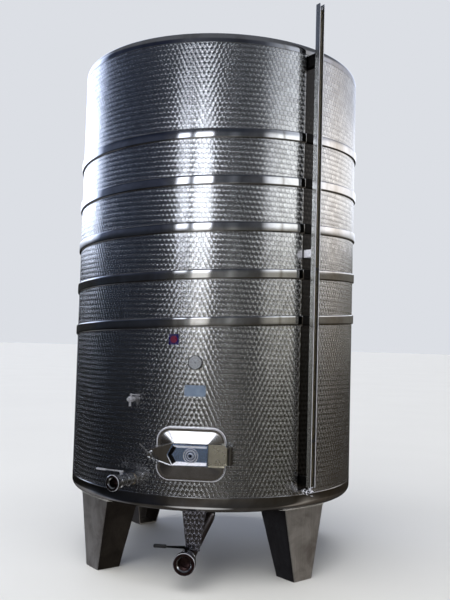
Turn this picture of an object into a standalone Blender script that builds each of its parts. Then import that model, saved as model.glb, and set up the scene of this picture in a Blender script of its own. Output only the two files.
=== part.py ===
"""Vertical storage tank of polished stainless sheet on four folded legs.

Metres, +Z up. The origin is on the floor under the middle of the overall box, and the tank's axis is
a little behind it, because the fittings stand out at the front. The front faces -Y.
Angles are degrees round the tank's axis from the front, positive towards +X.
"""
from math import asin, atan2, ceil, cos, degrees, floor, pi, radians, sin, tan

import bmesh
import bpy
from mathutils import Matrix, Vector

for leftover in list(bpy.data.objects):
    bpy.data.objects.remove(leftover, do_unlink=True)

# Shell and heads
AXIS_BACK = 0.0379
RADIUS = 1.0
SHEET = 0.003
SEAT = 0.0003
ROOT = 0.9
FACET = 5.0
FACET_START = -17.0
WALL_LOW = 0.553
WALL_HIGH = 3.356
KNUCKLE = 0.05
KNUCKLE_LOW = 0.510
KNUCKLE_HIGH = 3.380
KNUCKLE_STEPS = 4
BOTTOM_SLOPE = 8.0
ROOF_SLOPE = 10.0
OUTLET_RADIUS = 0.0425

# Roof neck
NECK_RADIUS = 0.200
NECK_SHEET = 0.004
NECK_TOP = 3.620
LID_RADIUS = 0.212
LID_RISE = 0.030
VENT_RADIUS = 0.030
VENT_TOP = 3.700

# Spiral cooling channel
COIL_TURNS = 5
COIL_PITCH = 0.2923
COIL_FRONT_LOW = 2.752
COIL_HEIGHT = 0.065
COIL_DEPTH = 0.012
COIL_CHAMFER = 0.006

# Legs
LEG_ANGLES = (39.0, 127.0, 219.0, 307.0)
LEG_TOP_HALF = 0.175
LEG_FOOT_HALF = 0.080
LEG_TOP_DEPTH = 0.225
LEG_FOOT_DEPTH = 0.160
LEG_TOP_REACH = 0.956
LEG_FOOT_REACH = 0.955
LEG_SHEET = 0.006
FOOT_PLATE = 0.008

# Manway
DOOR_ANGLE = -7.0
DOOR_HEIGHT = 0.814
HATCH_LOW = 0.692
HATCH_HIGH = 0.936
FRAME_HALF = (0.212, 0.161)
FRAME_CORNER = 0.085
CORNER_STEPS = 6
FRAME_CLEAR = (0.168, 0.114)
FRAME_CLEAR_CORNER = 0.045
FRAME_FRONT = 1.020
SEAL_DEPTH = 0.007
PANEL_HALF = (0.205, 0.154)
PANEL_CORNER = 0.078
PANEL_BRIM = 0.018
PANEL_SHEET = 0.003
PANEL_RISE = 0.017
PLATEAU_HALF = (0.108, 0.067)
BAR_HALF = 0.067
BAR_DEPTH = 0.016
BAR_SHEET = 0.004
BAR_TIP = -0.262
BAR_TIP_HALF = 0.024
BAR_SHOULDER = -0.122
HINGE_ACROSS = 0.2385
HINGE_OUT = 1.052
KNUCKLE_TUBE = 0.014
PIN_RADIUS = 0.008
PIN_PLAY = 0.0005
LUG_HALF = 0.066
LUG_SHEET = 0.012
LUG_SIDE = 0.016
LUG_REACH = 0.012
BAR_CLEAR = 0.027
WEB_POINT = -0.138
WEB_LEFT = -0.106
WEB_RIGHT = 0.109
WEB_DEPTH = 0.022
WEB_LIP = 0.006
WEB_SHEET = 0.003
BOSS_RADIUS = 0.046
LATCH_ACROSS = -0.243
KEEPER_SIDE = 0.018
KEEPER_PLAY = 0.006
KEEPER_TINE = 0.010
KEEPER_ROOT = 0.988
COLLAR_RADIUS = 0.014
SPINDLE_RADIUS = 0.007
TEE_HALF = 0.082
TEE_RADIUS = 0.006
TEE_TILT = -45.0
SEAL_BACK = FRAME_FRONT + SEAT
SEAL_FRONT = SEAL_BACK + SEAL_DEPTH
PANEL_BACK = SEAL_FRONT + SEAT
BAR_BACK = PANEL_BACK + PANEL_RISE + PANEL_SHEET + SEAT
BAR_FRONT = BAR_BACK + BAR_DEPTH
WEB_BACK = BAR_BACK + BAR_SHEET + SEAT
HINGE_POINT = (HINGE_ACROSS, -HINGE_OUT, DOOR_HEIGHT)
LATCH_POINT = (LATCH_ACROSS, -BAR_FRONT, DOOR_HEIGHT)
LUG_LOW = LUG_HALF - LUG_SHEET
TUBE_HALF = LUG_LOW - 0.0006

# Racking valve, on the left of the front
RACKING_ANGLE = -29.5
RACKING_HEIGHT = 0.635
RACKING_STUB = 1.055
RACKING_MIDDLE = 1.105
RACKING_FACE = 1.195
RACKING_BORE = 0.0275
RACKING_BODY = 0.040
RACKING_UNION = 0.049
RACKING_LEVER = 0.190
DISC_HALF = 0.002
DISC_PLAY = 0.0008

# Drain, under the front edge
DRAIN_ANGLE = -8.0
DRAIN_SLOPE = 3.0
DRAIN_FACE = 1.050
DRAIN_HEIGHT = 0.168
DRAIN_INLET = 0.945
PIPE_BEND = 0.075
PIPE_STEPS = 6
PIPE_SIDES = 20
DRAIN_MIDDLE = 0.985
DRAIN_BORE = 0.040
DRAIN_BODY = 0.050
DRAIN_UNION = 0.068
DRAIN_LEVER = 0.200
TONGUE_ANGLE = -6.0
TONGUE_REACH = 0.930
TONGUE_TOP_HALF = 0.073
TONGUE_FOOT_HALF = 0.042

# Sample tap, thermometer and plates
TAP_ANGLE = -29.5
TAP_HEIGHT = 1.125
TAP_BODY = 0.017
TAP_STEM = 1.031
THERMOMETER_ANGLE = -6.4
THERMOMETER_HEIGHT = 1.365
THERMOMETER_RADIUS = 0.044
PLATE_ANGLE = -6.4
PLATE_HEIGHT = 1.192
PLATE_HALF = (0.065, 0.034)
BADGE_ANGLE = -14.5
BADGE_HEIGHT = 1.5015
BADGE_HALF = (0.032, 0.033)
PLATE_SHEET = 0.0015

# Level gauge, on the right of the front
GAUGE_ANGLE = 34.4
RAIL_BACK = 1.070
RAIL_FRONT = 1.110
RAIL_HALF = 0.019
RAIL_SHEET = 0.003
RAIL_LOW = 0.613
RAIL_HIGH = 3.664
BRACKET_SPANS = ((0.620, 0.672), (2.042, 2.090), (3.270, 3.350))
BRACKET_HALF = 0.017
TUBE_RADIUS = 0.010
TUBE_WALL = 0.002
TUBE_OUT = 1.092
COCK_HEIGHT = 0.578
COCK_BODY = 0.017
COCK_FRONT = 1.112
COCK_ARM = 0.042


def finish(name, colour, roughness, metallic):
    """Makes a material from its colour, roughness and metallic value."""
    material = bpy.data.materials.new(name)
    material.use_nodes = True
    shader = material.node_tree.nodes["Principled BSDF"]
    shader.inputs["Base Color"].default_value = (*colour, 1.0)
    shader.inputs["Roughness"].default_value = roughness
    shader.inputs["Metallic"].default_value = metallic
    return material


POLISHED = finish("circular_polished_sheet", (0.55, 0.56, 0.57), 0.22, 1.0)
BRIGHT = finish("bright_sheet", (0.60, 0.61, 0.63), 0.16, 1.0)
BRUSHED = finish("brushed_leg_sheet", (0.38, 0.36, 0.33), 0.35, 1.0)
CAST = finish("cast_fitting", (0.50, 0.50, 0.51), 0.20, 1.0)
SEAL_RUBBER = finish("white_seal_rubber", (0.62, 0.62, 0.60), 0.60, 0.0)
DIAL = finish("dial_case", (0.70, 0.70, 0.74), 0.25, 0.6)
NAVY = finish("navy_plate", (0.03, 0.05, 0.16), 0.35, 0.1)
SLATE = finish("slate_plate", (0.16, 0.22, 0.32), 0.35, 0.4)
CLEAR = finish("clear_tube", (0.75, 0.78, 0.80), 0.10, 0.0)


tank_axis = bpy.data.objects.new("tank_axis", None)
tank_axis.location = (0.0, AXIS_BACK, 0.0)
bpy.context.scene.collection.objects.link(tank_axis)


def place(name, bm, material, angle=0.0, tilt=0.0, pivot=(0.0, 0.0, 0.0), auto=30.0):
    """Turns a mesh made at the front into an object round the tank, with its origin at pivot."""
    bmesh.ops.remove_doubles(bm, verts=bm.verts, dist=0.00001)
    bmesh.ops.recalc_face_normals(bm, faces=bm.faces)
    bmesh.ops.translate(bm, verts=bm.verts, vec=-Vector(pivot))
    mesh = bpy.data.meshes.new(name)
    bm.to_mesh(mesh)
    bm.free()
    mesh.materials.append(material)
    mesh.shade_smooth()
    mesh.set_sharp_from_angle(angle=radians(auto))
    thing = bpy.data.objects.new(name, mesh)
    bpy.context.scene.collection.objects.link(thing)
    thing.parent = tank_axis
    thing.rotation_euler = (radians(tilt), 0.0, radians(angle))
    thing.location = Matrix.Rotation(radians(angle), 3, "Z") @ Vector(pivot)
    return thing


def join(target, tool, operation="UNION"):
    """Adds a tool to a target, or cuts it away, and hides the tool."""
    tool.hide_render = True
    tool.display_type = "WIRE"
    step = target.modifiers.new(tool.name, "BOOLEAN")
    step.operation = operation
    step.solver = "EXACT"
    step.object = tool


def wall_depth(across, angle):
    """Distance out to the flat of the faceted wall, for a point beside the given angle."""
    bearing = angle + degrees(asin(across / RADIUS))
    index = floor((bearing - FACET_START) / FACET + 1e-6)
    middle = FACET_START + (index + 0.5) * FACET
    turn = radians(middle - angle)
    return (RADIUS * cos(radians(FACET / 2)) - across * sin(turn)) / cos(turn)


def seat(bm, angle, gap=SEAT):
    """Moves the end drawn inside the wall onto the outside of the wall, with a small gap."""
    for vert in bm.verts:
        if -vert.co.y < ROOT + 0.05:
            vert.co.y = -(wall_depth(vert.co.x, angle) + gap)


def creases(half, angle):
    """Offsets across at which the wall's facets meet, inside the given half width."""
    reach = degrees(asin(half / RADIUS))
    first = ceil((angle - reach - FACET_START) / FACET)
    last = floor((angle + reach - FACET_START) / FACET)
    return [RADIUS * sin(radians(FACET_START + k * FACET - angle)) for k in range(first, last + 1)]


def fold_at_creases(bm, half, angle):
    """Cuts a mesh where the wall's facets meet, so that its back can follow them."""
    for offset in creases(half, angle):
        bmesh.ops.bisect_plane(bm, geom=list(bm.verts) + list(bm.edges) + list(bm.faces),
                               plane_co=(offset, 0, 0), plane_no=(1, 0, 0), dist=0.0001)


def close_back(bm):
    """Fills the open end of a turned fitting."""
    bmesh.ops.contextual_create(bm, geom=[edge for edge in bm.edges if edge.is_boundary])


def loft(bm, loops, close=False):
    """Skins a row of closed loops, point to point; the ends are capped, or joined to each other."""
    rings = [[bm.verts.new(point) for point in loop] for loop in loops]
    pairs = list(zip(rings, rings[1:]))
    if close:
        pairs.append((rings[-1], rings[0]))
    for near, far in pairs:
        for k in range(len(near)):
            bm.faces.new((near[k - 1], near[k], far[k], far[k - 1]))
    if not close:
        bm.faces.new(rings[0])
        bm.faces.new(rings[-1])


def turned(profile, steps=24, closed=True, axis="Z", at=(0.0, 0.0, 0.0), sweep=360.0, start=0.0):
    """Spins a profile of (radius, distance) points about an axis through a point."""
    bm = bmesh.new()
    verts = [bm.verts.new((radius, 0.0, along)) for radius, along in profile]
    edges = [bm.edges.new(pair) for pair in zip(verts, verts[1:])]
    if closed:
        edges.append(bm.edges.new((verts[-1], verts[0])))
    turn_to_start = Matrix.Rotation(radians(start), 3, "Z")
    bmesh.ops.rotate(bm, cent=(0, 0, 0), matrix=turn_to_start, verts=bm.verts)
    bmesh.ops.spin(bm, geom=list(bm.verts) + edges, cent=(0, 0, 0), axis=(0, 0, 1), angle=radians(sweep),
                   steps=steps, use_merge=sweep == 360.0)
    if sweep != 360.0:
        bmesh.ops.holes_fill(bm, edges=bm.edges, sides=0)
    if axis == "out":
        bmesh.ops.rotate(bm, cent=(0, 0, 0), matrix=Matrix.Rotation(radians(90), 3, "X"), verts=bm.verts)
    bmesh.ops.translate(bm, verts=bm.verts, vec=at)
    return bm


def slab(outline, near, far, flat="out"):
    """Extrudes an outline. Flat "out" is drawn across and up; flat "up" is drawn across and out."""
    bm = bmesh.new()
    if flat == "out":
        points = [(across, -near, up) for across, up in outline]
        shift = (0.0, near - far, 0.0)
    else:
        points = [(across, -out, near) for across, out in outline]
        shift = (0.0, 0.0, far - near)
    face = bm.faces.new([bm.verts.new(point) for point in points])
    grown = bmesh.ops.extrude_face_region(bm, geom=[face], use_keep_orig=True)["geom"]
    bmesh.ops.translate(bm, verts=[item for item in grown if isinstance(item, bmesh.types.BMVert)], vec=shift)
    return bm


def rectangle(half, middle=(0.0, 0.0)):
    """Corner points of a rectangle."""
    corners = ((-1, -1), (1, -1), (1, 1), (-1, 1))
    return [(middle[0] + sx * half[0], middle[1] + sz * half[1]) for sx, sz in corners]


def rounded(half, corner, steps=5):
    """Points of a rectangle with round corners."""
    points = []
    for quarter, (sx, sz) in enumerate(((1, 1), (-1, 1), (-1, -1), (1, -1))):
        for step in range(steps + 1):
            turn = radians(90 * quarter + 90 * step / steps)
            across = sx * (half[0] - corner) + corner * cos(turn)
            points.append((across, sz * (half[1] - corner) + corner * sin(turn)))
    return points


def head_profile(level, slope, inner_radius, upward):
    """Profile of a head: flange, knuckle and cone, as a sheet of even thickness."""
    side = 1.0 if upward else -1.0
    edge = WALL_HIGH + SEAT if upward else WALL_LOW - SEAT
    skins = []
    for inset in (0.0, SHEET):
        bend = KNUCKLE - inset
        skin = [(RADIUS - inset, edge)]
        for step in range(KNUCKLE_STEPS + 1):
            turn = radians((90.0 - slope) * step / KNUCKLE_STEPS)
            skin.append((RADIUS - KNUCKLE + bend * cos(turn), level + side * bend * sin(turn)))
        knuckle_end = skin[-1]
        rise = (knuckle_end[0] - inner_radius) * tan(radians(slope))
        skin.append((inner_radius, knuckle_end[1] + side * rise))
        skins.append(skin)
    return skins[0] + skins[1][::-1]


def cone_low(radius):
    """Height of the underside of the bottom head's cone at a radius."""
    turn = radians(90.0 - BOTTOM_SLOPE)
    edge = RADIUS - KNUCKLE + KNUCKLE * cos(turn)
    return KNUCKLE_LOW - KNUCKLE * sin(turn) - (edge - radius) * tan(radians(BOTTOM_SLOPE))


def make_shell():
    """Round wall in segments, with one column split above and below the manway."""
    def segment(name, first, count, low, high):
        profile = [(RADIUS, low), (RADIUS, high), (RADIUS - SHEET, high), (RADIUS - SHEET, low)]
        sweep = count * FACET
        start = FACET_START + first * FACET - 90.0
        bm = turned(profile, steps=count, sweep=sweep, start=start)
        for vert in bm.verts:
            bearing = degrees(atan2(vert.co.x, -vert.co.y))
            shy = SEAT / 2
            ahead = (bearing - (start + 90.0)) % 360.0
            turn = shy if min(ahead, 360.0 - ahead) < 0.01 else 0.0
            if abs(ahead - sweep) < 0.01:
                turn = -shy
            vert.co = Matrix.Rotation(turn / RADIUS, 3, "Z") @ vert.co
        return place(name, bm, POLISHED)

    door_facets = 4
    segment("shell_below_door", 0, door_facets, WALL_LOW, HATCH_LOW)
    segment("shell_above_door", 0, door_facets, HATCH_HIGH, WALL_HIGH)
    facets = round(360.0 / FACET)
    segments = 8
    first = door_facets
    for number in range(segments):
        last = door_facets + round((facets - door_facets) * (number + 1) / segments)
        segment("shell_wall_%d" % (number + 1), first, last - first, WALL_LOW, WALL_HIGH)
        first = last


def make_heads():
    """Roof and bottom heads, and the neck, lid and vent on the roof."""
    facets = round(360.0 / FACET)
    start = FACET_START - 90.0
    bottom = head_profile(KNUCKLE_LOW, BOTTOM_SLOPE, OUTLET_RADIUS, False)
    place("bottom_head", turned(bottom, steps=facets, start=start), BRIGHT)
    hole = NECK_RADIUS - NECK_SHEET
    roof = head_profile(KNUCKLE_HIGH, ROOF_SLOPE, hole, True)
    place("roof_head", turned(roof, steps=facets, start=start), BRIGHT)
    base = max(point[1] for point in roof) + SEAT
    tube = [(NECK_RADIUS, base), (NECK_RADIUS, NECK_TOP), (hole, NECK_TOP), (hole, base)]
    place("roof_neck", turned(tube, steps=36), BRIGHT)
    low = NECK_TOP + SEAT
    cap = VENT_RADIUS * 1.4
    lid = [(0.0, low), (LID_RADIUS, low), (LID_RADIUS, low + 0.006), (LID_RADIUS * 0.8, low + 0.018),
           (VENT_RADIUS, low + LID_RISE), (VENT_RADIUS, VENT_TOP - 0.012), (cap, VENT_TOP - 0.012),
           (cap, VENT_TOP), (0.0, VENT_TOP)]
    place("roof_lid", turned(lid, steps=36, closed=False), BRIGHT)


def make_coil():
    """Spiral channel round the wall, one node for each turn, each starting at the back."""
    facets = round(360.0 / FACET)
    first = FACET_START - 33 * FACET
    for turn_number in range(COIL_TURNS):
        loops = []
        for step in range(facets + 1):
            bearing = first + step * FACET
            if step == 0:
                bearing += 0.02
            if step == facets:
                bearing -= 0.02
            low = COIL_FRONT_LOW - turn_number * COIL_PITCH + bearing / 360.0 * COIL_PITCH
            direction = Vector((sin(radians(bearing)), -cos(radians(bearing)), 0.0))
            section = ((RADIUS + SEAT, 0.0), (RADIUS + COIL_DEPTH, COIL_CHAMFER),
                       (RADIUS + COIL_DEPTH, COIL_HEIGHT - COIL_CHAMFER), (RADIUS + SEAT, COIL_HEIGHT))
            loops.append([direction * out + Vector((0, 0, low + up)) for out, up in section])
        bm = bmesh.new()
        loft(bm, loops)
        place("cooling_channel_%d" % (turn_number + 1), bm, BRIGHT)


def make_legs():
    """Four tapered folded-sheet legs with a plate closing the foot."""
    def section(half, depth, reach, sheet):
        near = reach - depth
        inner = half - sheet
        return [(-half, reach), (half, reach), (half, near), (inner, near), (inner, reach - sheet),
                (-inner, reach - sheet), (-inner, near), (-half, near)]

    foot = section(LEG_FOOT_HALF, LEG_FOOT_DEPTH, LEG_FOOT_REACH, LEG_SHEET)
    top = section(LEG_TOP_HALF, LEG_TOP_DEPTH, LEG_TOP_REACH, LEG_SHEET)
    for number, angle in enumerate(LEG_ANGLES):
        bm = bmesh.new()
        low = [(across, -out, 0.0) for across, out in foot]
        high = [(across, -out, cone_low(out) - 2 * SEAT) for across, out in top]
        loft(bm, [low, high])
        leg = place("leg_%d" % (number + 1), bm, BRUSHED, angle)
        inner = LEG_FOOT_REACH - LEG_FOOT_DEPTH
        half = LEG_FOOT_HALF - LEG_SHEET / 2
        outline = [(-half, inner), (half, inner), (half, LEG_FOOT_REACH - LEG_SHEET / 2),
                   (-half, LEG_FOOT_REACH - LEG_SHEET / 2)]
        plate = place("foot_plate_%d" % (number + 1), slab(outline, 0.0, FOOT_PLATE, "up"), BRUSHED, angle)
        join(leg, plate)


def framed(outer, inner, near, far):
    """A flat ring between two outlines with the same number of points."""
    bm = bmesh.new()
    loops = [[(x, -near, z) for x, z in outer], [(x, -far, z) for x, z in outer],
             [(x, -far, z) for x, z in inner], [(x, -near, z) for x, z in inner]]
    loft(bm, loops, close=True)
    return bm


def tray(outline, near, far, sheet, floor_sheet):
    """A plate with a raised rim all round, open to the front."""
    bm = slab(outline, near, far)
    bmesh.ops.recalc_face_normals(bm, faces=bm.faces)
    front = min(bm.faces, key=lambda face: face.calc_center_median().y)
    bmesh.ops.inset_region(bm, faces=[front], thickness=sheet, use_even_offset=True)
    grown = bmesh.ops.extrude_face_region(bm, geom=[front])["geom"]
    bmesh.ops.delete(bm, geom=[front], context="FACES_ONLY")
    moved = [item for item in grown if isinstance(item, bmesh.types.BMVert)]
    bmesh.ops.translate(bm, verts=moved, vec=(0.0, far - near - floor_sheet, 0.0))
    return bm


def raise_to(bm, height):
    """Lifts a mesh drawn about zero height."""
    bmesh.ops.translate(bm, verts=bm.verts, vec=(0.0, 0.0, height))
    return bm


def make_frame():
    """Manway frame on the wall, with the hinge bracket, its pin and the latch keeper."""
    outer = rounded(FRAME_HALF, FRAME_CORNER, CORNER_STEPS)
    clear = rounded(FRAME_CLEAR, FRAME_CLEAR_CORNER, CORNER_STEPS)
    frame = framed(outer, clear, ROOT, FRAME_FRONT)
    fold_at_creases(frame, FRAME_HALF[0], DOOR_ANGLE)
    seat(frame, DOOR_ANGLE)
    place("manway_frame", raise_to(frame, DOOR_HEIGHT), BRIGHT, DOOR_ANGLE)

    clear_back = HINGE_OUT - KNUCKLE_TUBE - 0.006
    lug_front = HINGE_OUT + LUG_REACH
    fork("hinge_bracket", HINGE_ACROSS, LUG_SIDE, LUG_HALF, LUG_LOW, clear_back, lug_front)
    pin_half = LUG_LOW - SEAT
    pin = turned([(0.0, -pin_half), (PIN_RADIUS, -pin_half), (PIN_RADIUS, pin_half), (0.0, pin_half)],
                 steps=16, closed=False, at=HINGE_POINT)
    place("hinge_pin", pin, CAST, DOOR_ANGLE)
    slot = SPINDLE_RADIUS + KEEPER_PLAY
    fork("latch_keeper", LATCH_ACROSS, KEEPER_SIDE, slot + KEEPER_TINE, slot, KEEPER_ROOT, BAR_BACK - 0.012)


def fork(name, across, side, half, slot, root, front):
    """A block on the wall with a slot across its front."""
    profile = [(ROOT, -half), (front, -half), (front, -slot), (root, -slot),
               (root, slot), (front, slot), (front, half), (ROOT, half)]
    bm = bmesh.new()
    loft(bm, [[(x, -out, up) for out, up in profile] for x in (across - side, across + side)])
    seat(bm, DOOR_ANGLE, 2 * SEAT)
    place(name, raise_to(bm, DOOR_HEIGHT), BRIGHT, DOOR_ANGLE)


def make_door():
    """Seal and pressed panel of the hinged door, with the knuckle it turns on."""
    outline = []
    for half, corner, margin in ((FRAME_HALF, FRAME_CORNER, -0.012), (FRAME_CLEAR, FRAME_CLEAR_CORNER, 0.006)):
        outline.append(rounded((half[0] + margin, half[1] + margin), corner + margin, CORNER_STEPS))
    seal = framed(outline[0], outline[1], SEAL_BACK, SEAL_FRONT)
    place("manway_seal", raise_to(seal, DOOR_HEIGHT), SEAL_RUBBER, DOOR_ANGLE, pivot=HINGE_POINT)

    brim = (PANEL_HALF[0] - PANEL_BRIM, PANEL_HALF[1] - PANEL_BRIM)
    brim_corner = PANEL_CORNER - PANEL_BRIM
    plateau_back = (PLATEAU_HALF[0] - 0.001, PLATEAU_HALF[1] - 0.001)
    front = PANEL_BACK + PANEL_SHEET
    stages = ((plateau_back, 0.008, PANEL_BACK + PANEL_RISE), (brim, brim_corner, PANEL_BACK),
              (PANEL_HALF, PANEL_CORNER, PANEL_BACK), (PANEL_HALF, PANEL_CORNER, front),
              (brim, brim_corner, front), (PLATEAU_HALF, 0.009, front + PANEL_RISE))
    panel = bmesh.new()
    outlines = [(rounded(half, corner, CORNER_STEPS), out) for half, corner, out in stages]
    loft(panel, [[(x, -out, z) for x, z in outline] for outline, out in outlines])
    place("manway_panel", raise_to(panel, DOOR_HEIGHT), BRIGHT, DOOR_ANGLE, pivot=HINGE_POINT)

    bore = PIN_RADIUS + PIN_PLAY
    profile = [(KNUCKLE_TUBE, -TUBE_HALF), (KNUCKLE_TUBE, TUBE_HALF), (bore, TUBE_HALF), (bore, -TUBE_HALF)]
    knuckle = turned(profile, steps=16, at=HINGE_POINT)
    place("hinge_knuckle", knuckle, BRIGHT, DOOR_ANGLE, pivot=HINGE_POINT)


def make_bar():
    """Cross bar over the door, with its channel and boss, and the latch spindle and tee handle."""
    bar_end = HINGE_ACROSS - KNUCKLE_TUBE - SEAT
    neck = HINGE_ACROSS - BAR_CLEAR
    upper = [(bar_end, TUBE_HALF), (neck, TUBE_HALF), (neck, BAR_HALF), (BAR_SHOULDER, BAR_HALF),
             (BAR_TIP, BAR_TIP_HALF)]
    outline = [(x, -z) for x, z in reversed(upper)] + upper
    bar = tray(outline, BAR_BACK, BAR_FRONT, BAR_SHEET, BAR_SHEET)
    bar = place("manway_bar", raise_to(bar, DOOR_HEIGHT), BRIGHT, DOOR_ANGLE, pivot=HINGE_POINT)
    hole = SPINDLE_RADIUS + PIN_PLAY
    drill = turned([(0.0, ROOT), (hole, ROOT), (hole, 1.2), (0.0, 1.2)],
                   steps=16, closed=False, axis="out", at=(LATCH_ACROSS, 0.0, DOOR_HEIGHT))
    join(bar, place("spindle_hole", drill, BRIGHT, DOOR_ANGLE, pivot=HINGE_POINT), "DIFFERENCE")

    half = BAR_HALF - BAR_SHEET - 0.001
    pointed = [(WEB_POINT, 0.0), (WEB_LEFT, -half), (WEB_RIGHT, -half), (WEB_RIGHT, half), (WEB_LEFT, half)]
    channel = tray(pointed, WEB_BACK, WEB_BACK + WEB_DEPTH, WEB_LIP, WEB_SHEET)
    place("manway_channel", raise_to(channel, DOOR_HEIGHT), BRIGHT, DOOR_ANGLE, pivot=HINGE_POINT)
    back = WEB_BACK + WEB_SHEET + SEAT
    boss = [(0.0, back), (BOSS_RADIUS, back), (BOSS_RADIUS, back + 0.004), (0.034, back + 0.008),
            (0.013, back + 0.008), (0.013, back + 0.016), (0.0, back + 0.016)]
    boss = turned(boss, steps=24, closed=False, axis="out", at=(0.004, 0.0, DOOR_HEIGHT - 0.004))
    place("manway_boss", boss, CAST, DOOR_ANGLE, pivot=HINGE_POINT)

    tail = KEEPER_ROOT + 0.006
    front = BAR_FRONT + 0.012
    spindle = [(0.0, tail), (SPINDLE_RADIUS, tail), (SPINDLE_RADIUS, WEB_BACK), (COLLAR_RADIUS, WEB_BACK),
               (COLLAR_RADIUS, front), (0.0, front)]
    spindle = turned(spindle, steps=16, closed=False, axis="out", at=(LATCH_ACROSS, 0.0, DOOR_HEIGHT))
    place("latch_spindle", spindle, CAST, DOOR_ANGLE, pivot=LATCH_POINT)
    rod = turned([(0.0, -TEE_HALF), (TEE_RADIUS, -TEE_HALF), (TEE_RADIUS, TEE_HALF), (0.0, TEE_HALF)],
                 steps=12, closed=False)
    tilt = Matrix.Rotation(radians(90.0 + TEE_TILT), 3, "Y")
    bmesh.ops.rotate(rod, cent=(0, 0, 0), matrix=tilt, verts=rod.verts)
    bmesh.ops.translate(rod, verts=rod.verts, vec=(LATCH_ACROSS, -(front + SEAT + TEE_RADIUS), DOOR_HEIGHT))
    place("tee_handle", rod, CAST, DOOR_ANGLE, pivot=LATCH_POINT)


def lever_mesh(length, low, middle, hub=0.013):
    """Outline of a flat lever: a hub and an arm to the left that widens into the grip."""
    outline = [(hub * cos(radians(turn)), hub * sin(radians(turn))) for turn in range(-120, 121, 30)]
    outline += [(-length * 0.62, 0.008), (-length * 0.62 - 0.006, 0.011), (-length, 0.011),
                (-length, -0.011), (-length * 0.62 - 0.006, -0.011), (-length * 0.62, -0.008)]
    return slab([(x, middle + y) for x, y in outline], low, low + 0.007, "up")


def disc_profile(bore):
    """Profile of the disc that shuts a bore, square to it at rest."""
    radius = bore - DISC_PLAY
    return [(0.0, -DISC_HALF), (radius, -DISC_HALF), (radius, DISC_HALF), (0.0, DISC_HALF)]


def make_racking():
    """Racking valve: stub on the wall, butterfly body with its union, disc and lever."""
    stub_inner = RACKING_BORE + 0.005
    stub_outer = stub_inner + SHEET
    flange = RACKING_STUB - 0.009
    stub = turned([(stub_outer, ROOT), (stub_outer, flange), (RACKING_BODY, flange),
                   (RACKING_BODY, RACKING_STUB), (stub_inner, RACKING_STUB), (stub_inner, ROOT)],
                  steps=20, axis="out")
    seat(stub, RACKING_ANGLE)
    place("racking_stub", raise_to(stub, RACKING_HEIGHT), BRIGHT, RACKING_ANGLE)
    near = RACKING_STUB + SEAT
    body = [(RACKING_BODY + 0.004, near), (RACKING_BODY + 0.004, near + 0.016), (RACKING_BODY, near + 0.020),
            (RACKING_BODY, RACKING_MIDDLE + 0.028), (RACKING_BODY - 0.006, RACKING_MIDDLE + 0.032),
            (RACKING_BODY - 0.006, RACKING_FACE - 0.034), (RACKING_UNION - 0.004, RACKING_FACE - 0.032),
            (RACKING_UNION, RACKING_FACE - 0.026), (RACKING_UNION, RACKING_FACE - 0.004),
            (RACKING_UNION - 0.004, RACKING_FACE), (RACKING_BORE + 0.008, RACKING_FACE),
            (RACKING_BORE, RACKING_FACE - 0.008), (RACKING_BORE, near)]
    centre = (0.0, 0.0, RACKING_HEIGHT)
    place("racking_valve", turned(body, steps=20, axis="out", at=centre), CAST, RACKING_ANGLE)
    stem = (0.0, -RACKING_MIDDLE, RACKING_HEIGHT)
    disc = turned(disc_profile(RACKING_BORE), steps=20, closed=False, axis="out", at=stem)
    place("racking_disc", disc, CAST, RACKING_ANGLE, pivot=stem)
    low = RACKING_HEIGHT + RACKING_UNION + 0.006
    lever = lever_mesh(RACKING_LEVER, low, RACKING_MIDDLE)
    lever = place("racking_lever", lever, CAST, RACKING_ANGLE, pivot=stem)
    post = turned([(0.0, RACKING_BODY + SEAT), (0.009, RACKING_BODY + SEAT), (0.009, RACKING_UNION + 0.010),
                   (0.0, RACKING_UNION + 0.010)], steps=12, closed=False, at=stem)
    join(lever, place("racking_stem", post, CAST, RACKING_ANGLE, pivot=stem))


def along_drain(out):
    """Height of the drain's centre line at a distance out."""
    return DRAIN_HEIGHT + (DRAIN_FACE - out) * tan(radians(DRAIN_SLOPE))


def tube(name, stations):
    """Lofts a pipe through stations of a point out and up, and the angle that it drops at."""
    loops = []
    for radius, order in ((OUTLET_RADIUS, stations), (OUTLET_RADIUS - SHEET, stations[::-1])):
        for (out, up), drop in order:
            lift = Vector((0.0, -sin(radians(drop)), cos(radians(drop))))
            turns = [2 * pi * k / PIPE_SIDES for k in range(PIPE_SIDES)]
            loops.append([Vector((0.0, -out, up)) + radius * (Vector((cos(turn), 0, 0)) + lift * sin(turn))
                          for turn in turns])
    bm = bmesh.new()
    loft(bm, loops, close=True)
    place(name, bm, BRIGHT, DRAIN_ANGLE)


def make_pipe():
    """Drain pipe: an elbow down from the centre outlet, and a straight run out under the front."""
    turn_all = 90.0 - DRAIN_SLOPE
    centre = (PIPE_BEND, along_drain(0.0) + PIPE_BEND * tan(radians(turn_all / 2)))
    elbow = [((0.0, cone_low(OUTLET_RADIUS) - SEAT), 90.0)]
    for step in range(PIPE_STEPS + 1):
        turn = turn_all * step / PIPE_STEPS
        spot = (centre[0] - PIPE_BEND * cos(radians(turn)), centre[1] - PIPE_BEND * sin(radians(turn)))
        elbow.append((spot, 90.0 - turn))
    tube("drain_elbow", elbow)
    start = elbow[-1][0][0] + SEAT
    end = DRAIN_INLET - SEAT
    tube("drain_pipe", [((out, along_drain(out)), DRAIN_SLOPE) for out in (start, end)])


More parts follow.
